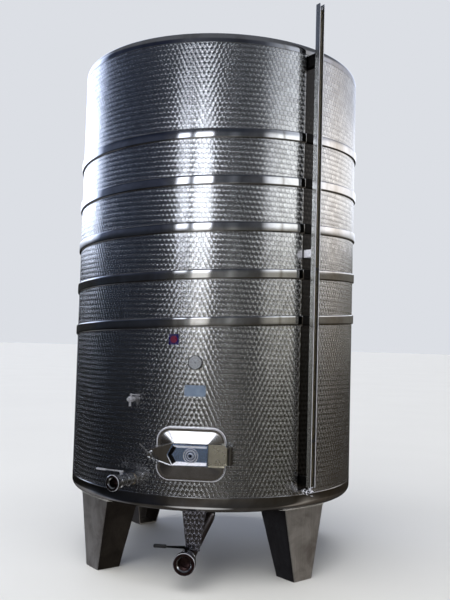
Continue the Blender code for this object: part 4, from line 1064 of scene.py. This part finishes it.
def makeLever(name, look, place, armFinish, gripFinish):
    low = look["union"] + 0.006
    bm, handle = leverArm(look["lever"], low, look["gripHigh"])
    foot = look["body"] + seat
    post = [(0.0, foot), (0.010, foot), (0.010, foot + 0.004), (0.0075, foot + 0.005), (0.0075, low - 0.002),
            (0.0, low - 0.002)]
    addTo(bm, spinProfile(post, 32))
    addPiece(name + "Lever", bm, armFinish, name + "_handle", [name + "_lever"], place)
    addPiece(name + "Grip", handle, gripFinish, name + "_handle", (), place)


def alongDrain(out):
    return drainLook["height"] + (drainLook["face"] - out) * tan(radians(drainLook["slope"]))


def outward(bm, fromAxis):
    # turns faces so that they point away from the inside
    bmesh.ops.recalc_face_normals(bm, faces=bm.faces)
    for face in bm.faces:
        away = fromAxis(face.calc_center_median())
        if away is not None:
            if face.normal.dot(away) < 0:
                bmesh.ops.reverse_faces(bm, faces=bm.faces)
            return


def makeDrain(look):
    radius, sheet = look["pipe"], tank["sheet"]
    slope = radians(look["slope"])
    turnAll = pi / 2 - slope
    centre = Vector((0.0, -look["bend"], alongDrain(0.0) + look["bend"] * tan(turnAll / 2)))
    # elbow: a ring at the outlet, drawn down and then bent forwards
    bm = bmesh.new()
    top = coneLow(radius) - seat
    bmesh.ops.create_circle(bm, cap_ends=False, radius=radius, segments=48,
                            matrix=Matrix.Translation((0, 0, top)))
    grown = bmesh.ops.extrude_edge_only(bm, edges=bm.edges[:])["geom"]
    ring = [item for item in grown if isinstance(item, bmesh.types.BMVert)]
    bmesh.ops.translate(bm, verts=ring, vec=(0.0, 0.0, centre.z - top))
    rim = [item for item in grown if isinstance(item, bmesh.types.BMEdge)
           and all(abs(vert.co.z - centre.z) < 0.0001 for vert in item.verts)]
    bmesh.ops.spin(bm, geom=ring + rim, cent=centre, axis=(-1, 0, 0), angle=turnAll, steps=14, use_merge=False)
    bmesh.ops.remove_doubles(bm, verts=bm.verts, dist=0.00001)
    outward(bm, lambda middle: middle - Vector((0.0, 0.0, middle.z)) if middle.z > centre.z else None)
    bmesh.ops.solidify(bm, geom=bm.faces[:], thickness=sheet)
    addPiece("drainElbow", bm, "brightAnnealedSteel", "tank", ["drain_elbow"],
             placeAt(look["angle"]), flats=False, recalculate=False)
    start = look["bend"] - look["bend"] * cos(turnAll) + seat
    end = look["inlet"] - seat
    lean = cos(slope)
    pipe = [(radius - sheet, start / lean), (radius, start / lean), (radius, (end - 0.006) / lean),
            (radius + 0.003, (end - 0.005) / lean), (radius + 0.003, (end - 0.001) / lean),
            (radius, end / lean), (radius - sheet, end / lean)]
    bm = spinProfile(pipe, 48, closed=True, facing="out")
    pivot = (0.0, 0.0, alongDrain(0.0))
    lay = placeAt(look["angle"], 0.0, look["slope"], pivot) @ Matrix.Translation(pivot)
    # painted shade: the drain pipe under the tank takes the dark brown finish
    addPiece("drainPipe", bm, "stainedPipeSteel", "tank", ["drain_pipe"], lay)

    stem = (0.0, -look["middle"], alongDrain(look["middle"]))
    place = placeAt(look["angle"], 0.0, look["slope"], stem) @ Matrix.Translation(stem)
    near = (look["inlet"] - look["middle"]) / lean
    face = (look["face"] - look["middle"]) / lean
    bm = valveBody(look, near, face, 0.0)
    addPiece("drainValve", bm, ["polishedCastSteel", "turnedEdgeSteel", "stainedPipeSteel"], "tank",
             ["drain_valve"], place, sharp=30.0)
    makeDisc("drain", look, place)
    # painted shade: the drain lever's arm under the tank takes the near-black finish
    makeLever("drain", look, place, "rolledDullSteel", "blackGripPlastic")

    bm = roundEdges(copyOf("drain_bracket"), 0.0006, 2, 40.0)
    # the bracket under the tank takes the darkened polish as painted shade
    addPiece("drainBracket", bm, "darkPolishedSteel", "tank", ["drain_bracket"])


makeRacking(rackingLook)
makeDrain(drainLook)
print("valves done")


# Sample tap, thermometer and plates

tapLook = {"angle": -29.5, "height": 1.125, "body": 0.017, "stem": 1.031}


def makeTap(look):
    place = placeAt(look["angle"], look["height"])
    body = look["body"]
    profile = [(0.0, root), (0.013, root), (0.013, 1.010), (body - 0.001, 1.013), (body, 1.015),
               (body, 1.020), (body - 0.002, 1.022), (body - 0.002, 1.040), (body, 1.042), (body, 1.047),
               (body - 0.002, 1.049), (0.011, 1.050), (0.010, 1.052), (0.010, 1.062), (0.009, 1.064),
               (0.0, 1.064)]
    bm = ontoWall(spinProfile(profile, 32, facing="out"))
    spout = [(0.0, -0.040), (0.0052, -0.040), (0.0058, -0.042), (0.007, -0.042), (0.007, -0.020),
             (0.0085, -0.018), (0.0085, -0.012), (0.007, -0.010), (0.007, 0.0), (0.0, 0.0)]
    addTo(bm, spinProfile(spout, 24, at=(0.0, -1.040, 0.0)))
    # painted highlight: the sample tap and its lever take the pale half-matt finish
    addPiece("sampleTap", bm, "turnedEdgeSteel", "tank", ["sample_tap"], place, sharp=30.0)
    low = 0.026
    arm = bmesh.new()
    verts = [arm.verts.new(spot) for spot in ((-0.008, -0.006, low), (0.052, -0.004, low), (0.064, -0.006, low),
                                              (0.064, 0.006, low), (0.052, 0.004, low), (-0.008, 0.006, low))]
    arm.faces.new(verts)
    thicken(arm, (0.0, 0.0, 0.005))
    roundEdges(arm, 0.0012, 3)
    post = [(0.0, body + seat), (0.006, body + seat), (0.006, low + 0.002), (0.0, low + 0.002)]
    addTo(arm, spinProfile(post, 24))
    knob = [(0.0, low + 0.0049), (0.005, low + 0.0049), (0.005, low + 0.007), (0.004, low + 0.008),
            (0.0, low + 0.008)]
    addTo(arm, spinProfile(knob, 6))
    addPiece("tapLever", arm, "turnedEdgeSteel", "tap_handle", ["tap_lever"],
             place @ Matrix.Translation((0.0, -look["stem"], 0.0)))


dialLook = {"angle": -6.4, "height": 1.365, "radius": 0.044, "ticks": 31, "sweep": 270.0,
            "numeralHigh": 0.0078, "numeralsOut": 0.0245, "ticksOut": 0.0345, "markFront": 1.0346,
            "needle": -45.0}


def makeThermometer(look):
    place = placeAt(look["angle"], look["height"])
    radius = look["radius"]
    case = [(0.0, root), (0.010, root), (0.010, 1.010), (0.014, 1.011), (0.014, 1.0155),
            (radius - 0.006, 1.0165), (radius - 0.002, 1.0180), (radius, 1.0210), (radius, 1.0340),
            (radius, 1.0355), (radius - 0.001, 1.0382), (radius - 0.003, 1.0390), (radius - 0.0048, 1.0382),
            (radius - 0.0055, 1.0362), (radius - 0.0058, 1.0335), (0.0, 1.0335)]
    bm = ontoWall(spinProfile(case, 96, facing="out"))
    addPiece("thermometerCase", bm, "polishedCastSteel", "tank", ["thermometer"], place, sharp=40.0)
    face = [(0.0, 1.0334), (radius - 0.0060, 1.0334), (radius - 0.0060, 1.0345), (0.0, 1.0345)]
    addPiece("dialFace", spinProfile(face, 64, facing="out"), "paleDialEnamel", "tank", (), place)
    ink = bmesh.new()
    first, front = -look["sweep"] / 2, look["markFront"]
    for k in range(look["ticks"]):
        # every fifth mark is longer
        turn = radians(first + look["sweep"] * k / (look["ticks"] - 1))
        width, length = (0.0011, 0.0060) if k % 5 == 0 else (0.0006, 0.0036)
        mark = bmesh.new()
        middle = Matrix.Translation((0.0, 0.0, look["ticksOut"] - length / 2))
        bmesh.ops.create_cube(mark, size=1.0, matrix=middle @ Matrix.Diagonal((width, 0.0004, length, 1.0)))
        addTo(ink, mark, Matrix.Translation((0.0, -front, 0.0)) @ Matrix.Rotation(turn, 4, "Y"))
    for k in range(7):
        # plain numerals in tens
        turn = radians(first + look["sweep"] * k / 6)
        text = bpy.data.curves.new("numeral", "FONT")
        text.body = str(k * 10)
        text.size = look["numeralHigh"]
        text.extrude = 0.0002
        text.align_x = "CENTER"
        text.align_y = "CENTER"
        spot = (look["numeralsOut"] * sin(turn), -front - 0.0001, look["numeralsOut"] * cos(turn))
        addTo(ink, meshOf(text), Matrix.Translation(spot) @ Matrix.Rotation(radians(90), 4, "X"))
    needle = bmesh.new()
    verts = [needle.verts.new((across, -front - 0.0006, up)) for across, up in
             ((-0.0014, -0.012), (0.0014, -0.012), (0.0004, 0.030), (-0.0004, 0.030))]
    needle.faces.new(verts)
    thicken(needle, (0.0, -0.0006, 0.0))
    bmesh.ops.rotate(needle, cent=(0, 0, 0), matrix=Matrix.Rotation(radians(look["needle"]), 3, "Y"),
                     verts=needle.verts)
    addTo(ink, needle)
    nut = [(0.0, front), (0.0040, front), (0.0040, 1.0362), (0.0030, 1.0368), (0.0, 1.0368)]
    addTo(ink, spinProfile(nut, 24, facing="out"))
    addPiece("dialMarks", ink, "dialInk", "tank", (), place, flats=False)
    glass = [(0.0, 1.0372), (radius - 0.0050, 1.0372), (radius - 0.0050, 1.0380), (0.0, 1.0380)]
    addPiece("dialCover", spinProfile(glass, 64, facing="out"), "dialGlass", "tank", (), place)


plateLook = {"plate": {"angle": -6.4, "height": 1.192, "half": (0.065, 0.034), "corner": 0.004},
             "badge": {"angle": -14.5, "height": 1.5015, "half": (0.032, 0.033), "corner": 0.003,
                       "disc": 0.0215},
             "sheet": 0.0015}


def bendToWall(bm, gap):
    # lays a thin flat mesh, drawn about y = 0, on the round wall
    for vert in bm.verts:
        vert.co.y += -(sqrt(tank["radius"] ** 2 - vert.co.x ** 2) + gap)
    return bm


def makePlates(look):
    sheet = look["sheet"]
    for name, node, finish, key in (("ratingPlate", "rating_plate", "anodisedPlate", "plate"),
                                    ("squarePlate", "square_plate", "navyEnamel", "badge")):
        one = look[key]
        bm = roundedPlate(one["half"], one["corner"], 4)
        sliceAcross(bm, one["half"][0], 8)
        thicken(bm, (0.0, -sheet, 0.0))
        roundEdges(bm, 0.0004, 1, 50.0)
        bendToWall(bm, seat)
        addPiece(name, bm, finish, "tank", [node], placeAt(one["angle"], one["height"]), flats=False)
    badge = look["badge"]
    bm = bmesh.new()
    bmesh.ops.create_circle(bm, cap_ends=True, radius=badge["disc"], segments=48)
    bmesh.ops.rotate(bm, cent=(0, 0, 0), matrix=Matrix.Rotation(radians(90), 3, "X"), verts=bm.verts)
    sliceAcross(bm, badge["disc"], 8)
    thicken(bm, (0.0, -0.0004, 0.0))
    bendToWall(bm, seat + sheet)
    addPiece("squarePlateDisc", bm, "redEnamel", "tank", (),
             placeAt(badge["angle"], badge["height"]), flats=False)
    plate = look["plate"]
    rivets = bmesh.new()
    for side in (-1, 1):
        for lift in (-1, 1):
            dome = [(0.0, 0.0), (0.0034, 0.0), (0.0032, 0.0010), (0.0022, 0.0018), (0.0, 0.0022)]
            across = side * (plate["half"][0] - 0.006)
            lean = Matrix.Rotation(asin(across / tank["radius"]), 4, "Z")
            wall = sqrt(tank["radius"] ** 2 - across ** 2)
            spot = (across, -wall - seat - sheet, lift * (plate["half"][1] - 0.006))
            addTo(rivets, spinProfile(dome, 16, facing="out"), Matrix.Translation(spot) @ lean)
    addPiece("plateRivets", rivets, "polishedCastSteel", "tank", (),
             placeAt(plate["angle"], plate["height"]), flats=False)


makeTap(tapLook)
makeThermometer(dialLook)
makePlates(plateLook)
print("instruments done")


# Level gauge

gaugeLook = {"angle": 34.4, "tubeRadius": 0.010, "tubeOut": 1.092, "high": 3.664, "cock": 0.578,
             "clips": (0.897, 1.965), "cockFront": 1.112,
             # depth of the rail's front edges, which take a painted highlight, and of the rail itself, and
             # tallest bracket face
             "edgeDeep": 0.0025, "railDeep": 0.04, "bracketHigh": 0.15,
             # the middle bracket, between these heights, takes the pale painted highlight; the others take the
             # near-black painted shade
             "brightBracket": (1.5, 2.5)}


def makeGauge(look):
    place = placeAt(look["angle"])
    bm = roundEdges(copyOf("gauge_rail"), 0.0007, 2, 40.0)
    bm.normal_update()
    inward = Vector((-sin(radians(look["angle"])), cos(radians(look["angle"])), 0.0))
    back = place.inverted()
    low, high = look["brightBracket"]
    front = max(-(back @ vert.co).y for vert in bm.verts)
    # painted light: the rail's back takes the near-black painted shade, its front edges the pale painted
    # highlight
    for face in bm.faces:
        out = -(back @ face.calc_center_median()).y
        heights = [vert.co.z for vert in face.verts]
        if face.normal.dot(inward) > 0.7 and face.calc_area() > 0.001:
            face.material_index = 1
        elif out > front - look["edgeDeep"]:
            face.material_index = 2
        elif out < front - look["railDeep"] and max(heights) - min(heights) < look["bracketHigh"]:
            face.material_index = 2 if low < face.calc_center_median().z < high else 1
    addPiece("gaugeRail", bm, ["brushedRailSteel", "rolledDullSteel", "paintedHighlightEdgeSteel"], "tank",
             ["gauge_rail"])
    radius, out, cock = look["tubeRadius"], look["tubeOut"], look["cock"]
    # the tube stands on the socket above the cock
    foot = cock + 0.037 + seat
    top = look["high"] - 0.03
    tube = [(radius - 0.002, foot), (radius, foot), (radius, top), (radius - 0.002, top)]
    addPiece("gaugeTube", spinProfile(tube, 32, closed=True, at=(0.0, -out, 0.0)), "agedAcrylicTube", "tank",
             ["gauge_tube"], place)
    clips = bmesh.new()
    for height in look["clips"]:
        ring = [(radius + 0.0002, height - 0.008), (radius + 0.0035, height - 0.008),
                (radius + 0.0045, height - 0.007), (radius + 0.0045, height + 0.007),
                (radius + 0.0035, height + 0.008), (radius + 0.0002, height + 0.008)]
        addTo(clips, spinProfile(ring, 32, closed=True, at=(0.0, -out, 0.0)))
    addPiece("tubeClips", clips, "blackGripPlastic", "tank", (), place)
    cap = [(0.0, top - 0.012), (radius + 0.0025, top - 0.012), (radius + 0.0035, top - 0.010),
           (radius + 0.0035, top + 0.006), (radius + 0.0015, top + 0.010), (0.0, top + 0.011)]
    addPiece("tubeCap", spinProfile(cap, 32, at=(0.0, -out, 0.0)), "polishedCastSteel", "tank",
             (), place)

    body = [(0.0, root), (0.011, root), (0.011, 1.020), (0.015, 1.024), (0.017, 1.028), (0.017, 1.036),
            (0.0145, 1.039), (0.0145, 1.052), (0.017, 1.055), (0.017, 1.066), (0.0135, 1.069), (0.0135, 1.078),
            (0.017, 1.081), (0.017, 1.104), (0.015, 1.107), (0.012, 1.108), (0.0115, look["cockFront"]),
            (0.0, look["cockFront"])]
    bm = ontoWall(spinProfile(body, 32, facing="out"))
    bmesh.ops.translate(bm, verts=bm.verts, vec=(0.0, 0.0, cock))
    socket = [(0.0, cock), (0.0115, cock), (0.0115, cock + 0.017), (0.013, cock + 0.019),
              (0.0142, cock + 0.021), (0.0142, cock + 0.034), (0.012, cock + 0.037), (0.0, cock + 0.037)]
    addTo(bm, spinProfile(socket, 6, at=(0.0, -out, 0.0)))
    bm.normal_update()
    # painted highlight: the cock's sloping faces take the pale edge finish
    for face in bm.faces:
        face.material_index = 1 if 0.25 < abs(face.normal.y) < 0.97 else 0
    addPiece("gaugeCock", bm, ["polishedCastSteel", "paintedHighlightEdgeSteel"], "tank",
             ["gauge_cock"], place, sharp=30.0)
    bm = roundEdges(copyOf("cock_lever"), 0.0014, 3, 40.0)
    addPiece("cockLever", bm, "polishedCastSteel", "cock_handle", ["cock_lever"])


makeGauge(gaugeLook)
print("gauge done")


# Floor, lights, world and camera

studio = {"floor": "dcdbd7", "cloud": "d5d4d0", "cloudMm": 1800, "matt": 0.75, "floorSize": 150.0,
          "backdrop": "dcdfe5"}


def makeFloor(look):
    bm = bmesh.new()
    bmesh.ops.create_circle(bm, cap_ends=True, radius=look["floorSize"], segments=96)
    mesh = bpy.data.meshes.new("floor")
    bm.to_mesh(mesh)
    bm.free()
    floor = bpy.data.objects.new("floor", mesh)
    scene.collection.objects.link(floor)
    material, tree, shader, place = startFinish("paleFloor", look["floor"], 0.0, look["matt"])
    cloud = addNode(tree, "TexNoise", {"Scale": perMetre(look["cloudMm"]), "Detail": 2.0}, {"Vector": place})
    tint = addNode(tree, "Mix", {"data_type": "RGBA", 6: linear(look["floor"]), 7: linear(look["cloud"])},
                   {0: cloud})
    plugIn(tree, shader, {"Base Color": tint})
    mesh.materials.append(material)
    floor.visible_glossy = False


# the room that polished metal mirrors: bearing round the tank in degrees from the front, positive
# towards +X, hue, and brightness of the ground, the low parts, the sills, the windows and the ceiling
room = ((-180, "f4f8ff", (0.02, 0.01, 0.04, 2.4, 2.20)), (-125, "eef4ff", (0.26, 0.01, 0.04, 4.4, 2.80)),
        (-114, "dce8ff", (0.26, 0.01, 0.04, 1.7, 0.80)), (-108, "c6d8fa", (0.18, 0.01, 0.05, 0.34, 0.12)),
        (-98, "c6d4f4", (0.03, 0.01, 0.04, 0.17, 0.08)), (-86, "c6d4f4", (0.02, 0.01, 0.04, 0.14, 0.06)),
        (-68, "c6d4f4", (0.02, 0.02, 0.04, 0.09, 0.05)), (-46, "ccd6f6", (0.03, 0.03, 0.05, 0.09, 0.05)),
        (-34, "f4f6ff", (0.04, 0.04, 0.06, 0.14, 0.08)), (-32, "fbfcff", (0.06, 0.05, 0.14, 3.5, 0.12)),
        (-24.5, "fbfcff", (0.08, 0.05, 0.16, 4.0, 0.14)), (-23.4, "f4f8ff", (0.09, 0.06, 0.30, 0.30, 0.12)),
        (-20, "f4f8ff", (0.09, 0.06, 0.40, 0.40, 0.12)), (-18.6, "fcfdff", (0.09, 0.06, 1.2, 5.5, 0.10)),
        (-7, "fcfdff", (0.09, 0.08, 1.2, 5.5, 0.07)), (-4.6, "f8fafe", (0.08, 0.12, 0.22, 0.17, 0.08)),
        (6, "f4f8fe", (0.06, 0.12, 0.17, 0.12, 0.06)), (11, "f6fafe", (0.06, 0.11, 0.33, 0.19, 0.06)),
        (17, "f4f8fe", (0.05, 0.08, 0.14, 0.08, 0.05)), (34, "f8f8f8", (0.04, 0.06, 0.08, 0.12, 0.10)),
        (40, "fbfaf6", (0.04, 0.05, 0.40, 1.45, 0.30)), (50, "fbfaf2", (0.04, 0.04, 0.46, 2.30, 0.70)),
        (52, "e8e0d0", (0.04, 0.04, 0.26, 1.00, 0.50)), (54, "fbfaf2", (0.04, 0.04, 0.44, 2.40, 0.90)),
        (68, "fbf8ee", (0.04, 0.03, 0.30, 2.10, 1.20)), (72, "e8e0d0", (0.05, 0.03, 0.18, 0.90, 0.90)),
        (84, "fcfaf4", (0.34, 0.03, 0.20, 1.50, 1.00)), (98, "fff6ea", (0.10, 0.03, 0.20, 2.20, 1.00)),
        (110, "fff2e0", (0.08, 0.03, 0.18, 1.70, 0.80)), (124, "fff8ee", (0.06, 0.03, 0.18, 1.90, 0.80)),
        (145, "fffcf6", (0.05, 0.03, 0.18, 1.50, 0.80)), (180, "f4f8ff", (0.02, 0.01, 0.04, 2.4, 2.20)))
# hue of each level, warm below and cool above
levelHues = ("fff6ee", "fff3e0", "fcfaf4", "eef3ff", "dfe8ff")
# heights between which one level passes into the next, as the upward part of the direction
levels = ((-0.27, -0.20), (-0.06, 0.02), (0.10, 0.17), (0.255, 0.305))
# the floor close by, which rims that face down mirror, and the roof of the hall
nearFloor = {"colour": "fff6ec", "bright": 0.06, "from": -0.70, "to": -0.85}
hallRoof = {"colour": "e8eefc", "bright": 0.16, "from": 0.42, "to": 0.62}
# a pool of window light on it: bearing, height, how near, brightness
floorPool = {"bearing": -14.0, "height": -60.0, "near": (0.93, 0.99), "bright": 0.8}
# a colour ramp keeps values up to one, so brightness goes in as a share of this
brightest = 10.0


def makeWorld(look):
    world = bpy.data.worlds.new("studio")
    scene.world = world
    world.use_nodes = True
    tree = world.node_tree
    tree.nodes.clear()
    towards = addNode(tree, "TexCoord").outputs["Generated"]
    split = addNode(tree, "SeparateXYZ", None, {0: towards})
    front = addNode(tree, "Math", {"operation": "MULTIPLY", 1: -1.0}, {0: split.outputs["Y"]})
    bearing = addNode(tree, "Math", {"operation": "ARCTAN2"}, {0: split.outputs["X"], 1: front})
    share = addNode(tree, "MapRange", {1: -pi, 2: pi}, {0: bearing})
    around = None
    for level in range(5):
        ramp = addNode(tree, "ValToRGB", None, {0: share})
        stops = ramp.color_ramp.elements
        stops.remove(stops[-1])
        for k, (degree, hue, bright) in enumerate(room):
            stop = stops[0] if k == 0 else stops.new((degree + 180) / 360)
            stop.position = (degree + 180) / 360
            stop.color = [part * other * bright[level] / brightest
                          for part, other in zip(linear(hue)[:3], linear(levelHues[level])[:3])] + [1.0]
        if level == 0:
            around = ramp
            continue
        low, high = levels[level - 1]
        height = addNode(tree, "MapRange", {"interpolation_type": "SMOOTHSTEP", 1: low, 2: high},
                         {0: split.outputs["Z"]})
        around = addNode(tree, "Mix", {"data_type": "RGBA"}, {0: height, 6: around, 7: ramp})
    for end in (nearFloor, hallRoof):
        beyond = addNode(tree, "MapRange", {1: end["from"], 2: end["to"]}, {0: split.outputs["Z"]})
        tone = [part * end["bright"] / brightest for part in linear(end["colour"])[:3]] + [1.0]
        around = addNode(tree, "Mix", {"data_type": "RGBA", 7: tone}, {0: beyond, 6: around})
    side, drop = radians(floorPool["bearing"]), radians(floorPool["height"])
    aim = (sin(side) * cos(drop), -cos(side) * cos(drop), sin(drop))
    pool = addNode(tree, "VectorMath", {"operation": "DOT_PRODUCT", 1: aim}, {0: towards})
    pool = addNode(tree, "MapRange", {1: floorPool["near"][0], 2: floorPool["near"][1]}, {0: pool})
    tone = [floorPool["bright"] / brightest] * 3 + [1.0]
    around = addNode(tree, "Mix", {"data_type": "RGBA", 7: tone}, {0: pool, 6: around})
    mirrored = addNode(tree, "Background", {"Strength": brightest}, {"Color": around})
    seen = addNode(tree, "Background", {"Color": linear(look["backdrop"]), "Strength": 1.0})
    path = addNode(tree, "LightPath").outputs["Is Camera Ray"]
    both = addNode(tree, "MixShader", None, {0: path, 1: mirrored, 2: seen})
    addNode(tree, "OutputWorld", None, {"Surface": both})


lampLooks = (
    # polished metal mirrors the room and not these
    {"name": "overheadSoft", "kind": "SUN", "at": (-3.0, -5.0, 12.0), "aim": (0.0, 0.0, 0.0), "angle": 70.0,
     "power": 2.9},
    {"name": "frontSoft", "kind": "AREA", "at": (-2.5, -7.0, 5.0), "aim": (0.0, 0.0, 1.2), "size": (4.0, 4.0),
     "power": 90.0},
)


def makeLamps(looks):
    for look in looks:
        light = bpy.data.lights.new(look["name"], look["kind"])
        if look["kind"] == "AREA":
            light.shape = "RECTANGLE"
            light.size, light.size_y = look["size"]
        else:
            light.angle = radians(look["angle"])
        light.energy = look["power"]
        lamp = bpy.data.objects.new(look["name"], light)
        lamp.location = look["at"]
        lamp.rotation_mode = "QUATERNION"
        lamp.rotation_quaternion = (Vector(look["aim"]) - Vector(look["at"])).to_track_quat("-Z", "Y")
        lamp.visible_glossy = False
        scene.collection.objects.link(lamp)


cameraLook = {"at": (0.0, -5.4598, 1.5), "yaw": 0.7054, "pitch": 3.174, "roll": 1.578, "lens": 44.28}


def makeCamera(look):
    yaw, pitch, roll = (radians(look[key]) for key in ("yaw", "pitch", "roll"))
    forward = Vector((sin(yaw) * cos(pitch), cos(yaw) * cos(pitch), sin(pitch)))
    right = Vector((cos(yaw), -sin(yaw), 0.0))
    upright = right.cross(forward)
    turned = (cos(roll) * right + sin(roll) * upright, -sin(roll) * right + cos(roll) * upright, -forward)
    camera = bpy.data.cameras.new("camera")
    camera.lens = look["lens"]
    camera.sensor_width = 36.0
    camera.sensor_fit = "AUTO"
    camera.clip_end = 200.0
    eye = bpy.data.objects.new("camera", camera)
    eye.matrix_world = Matrix.Translation(look["at"]) @ Matrix(turned).transposed().to_4x4()
    scene.collection.objects.link(eye)
    scene.camera = eye


makeFloor(studio)
makeWorld(studio)
makeLamps(lampLooks)
makeCamera(cameraLook)
scene.view_settings.view_transform = "Standard"
print("studio done")
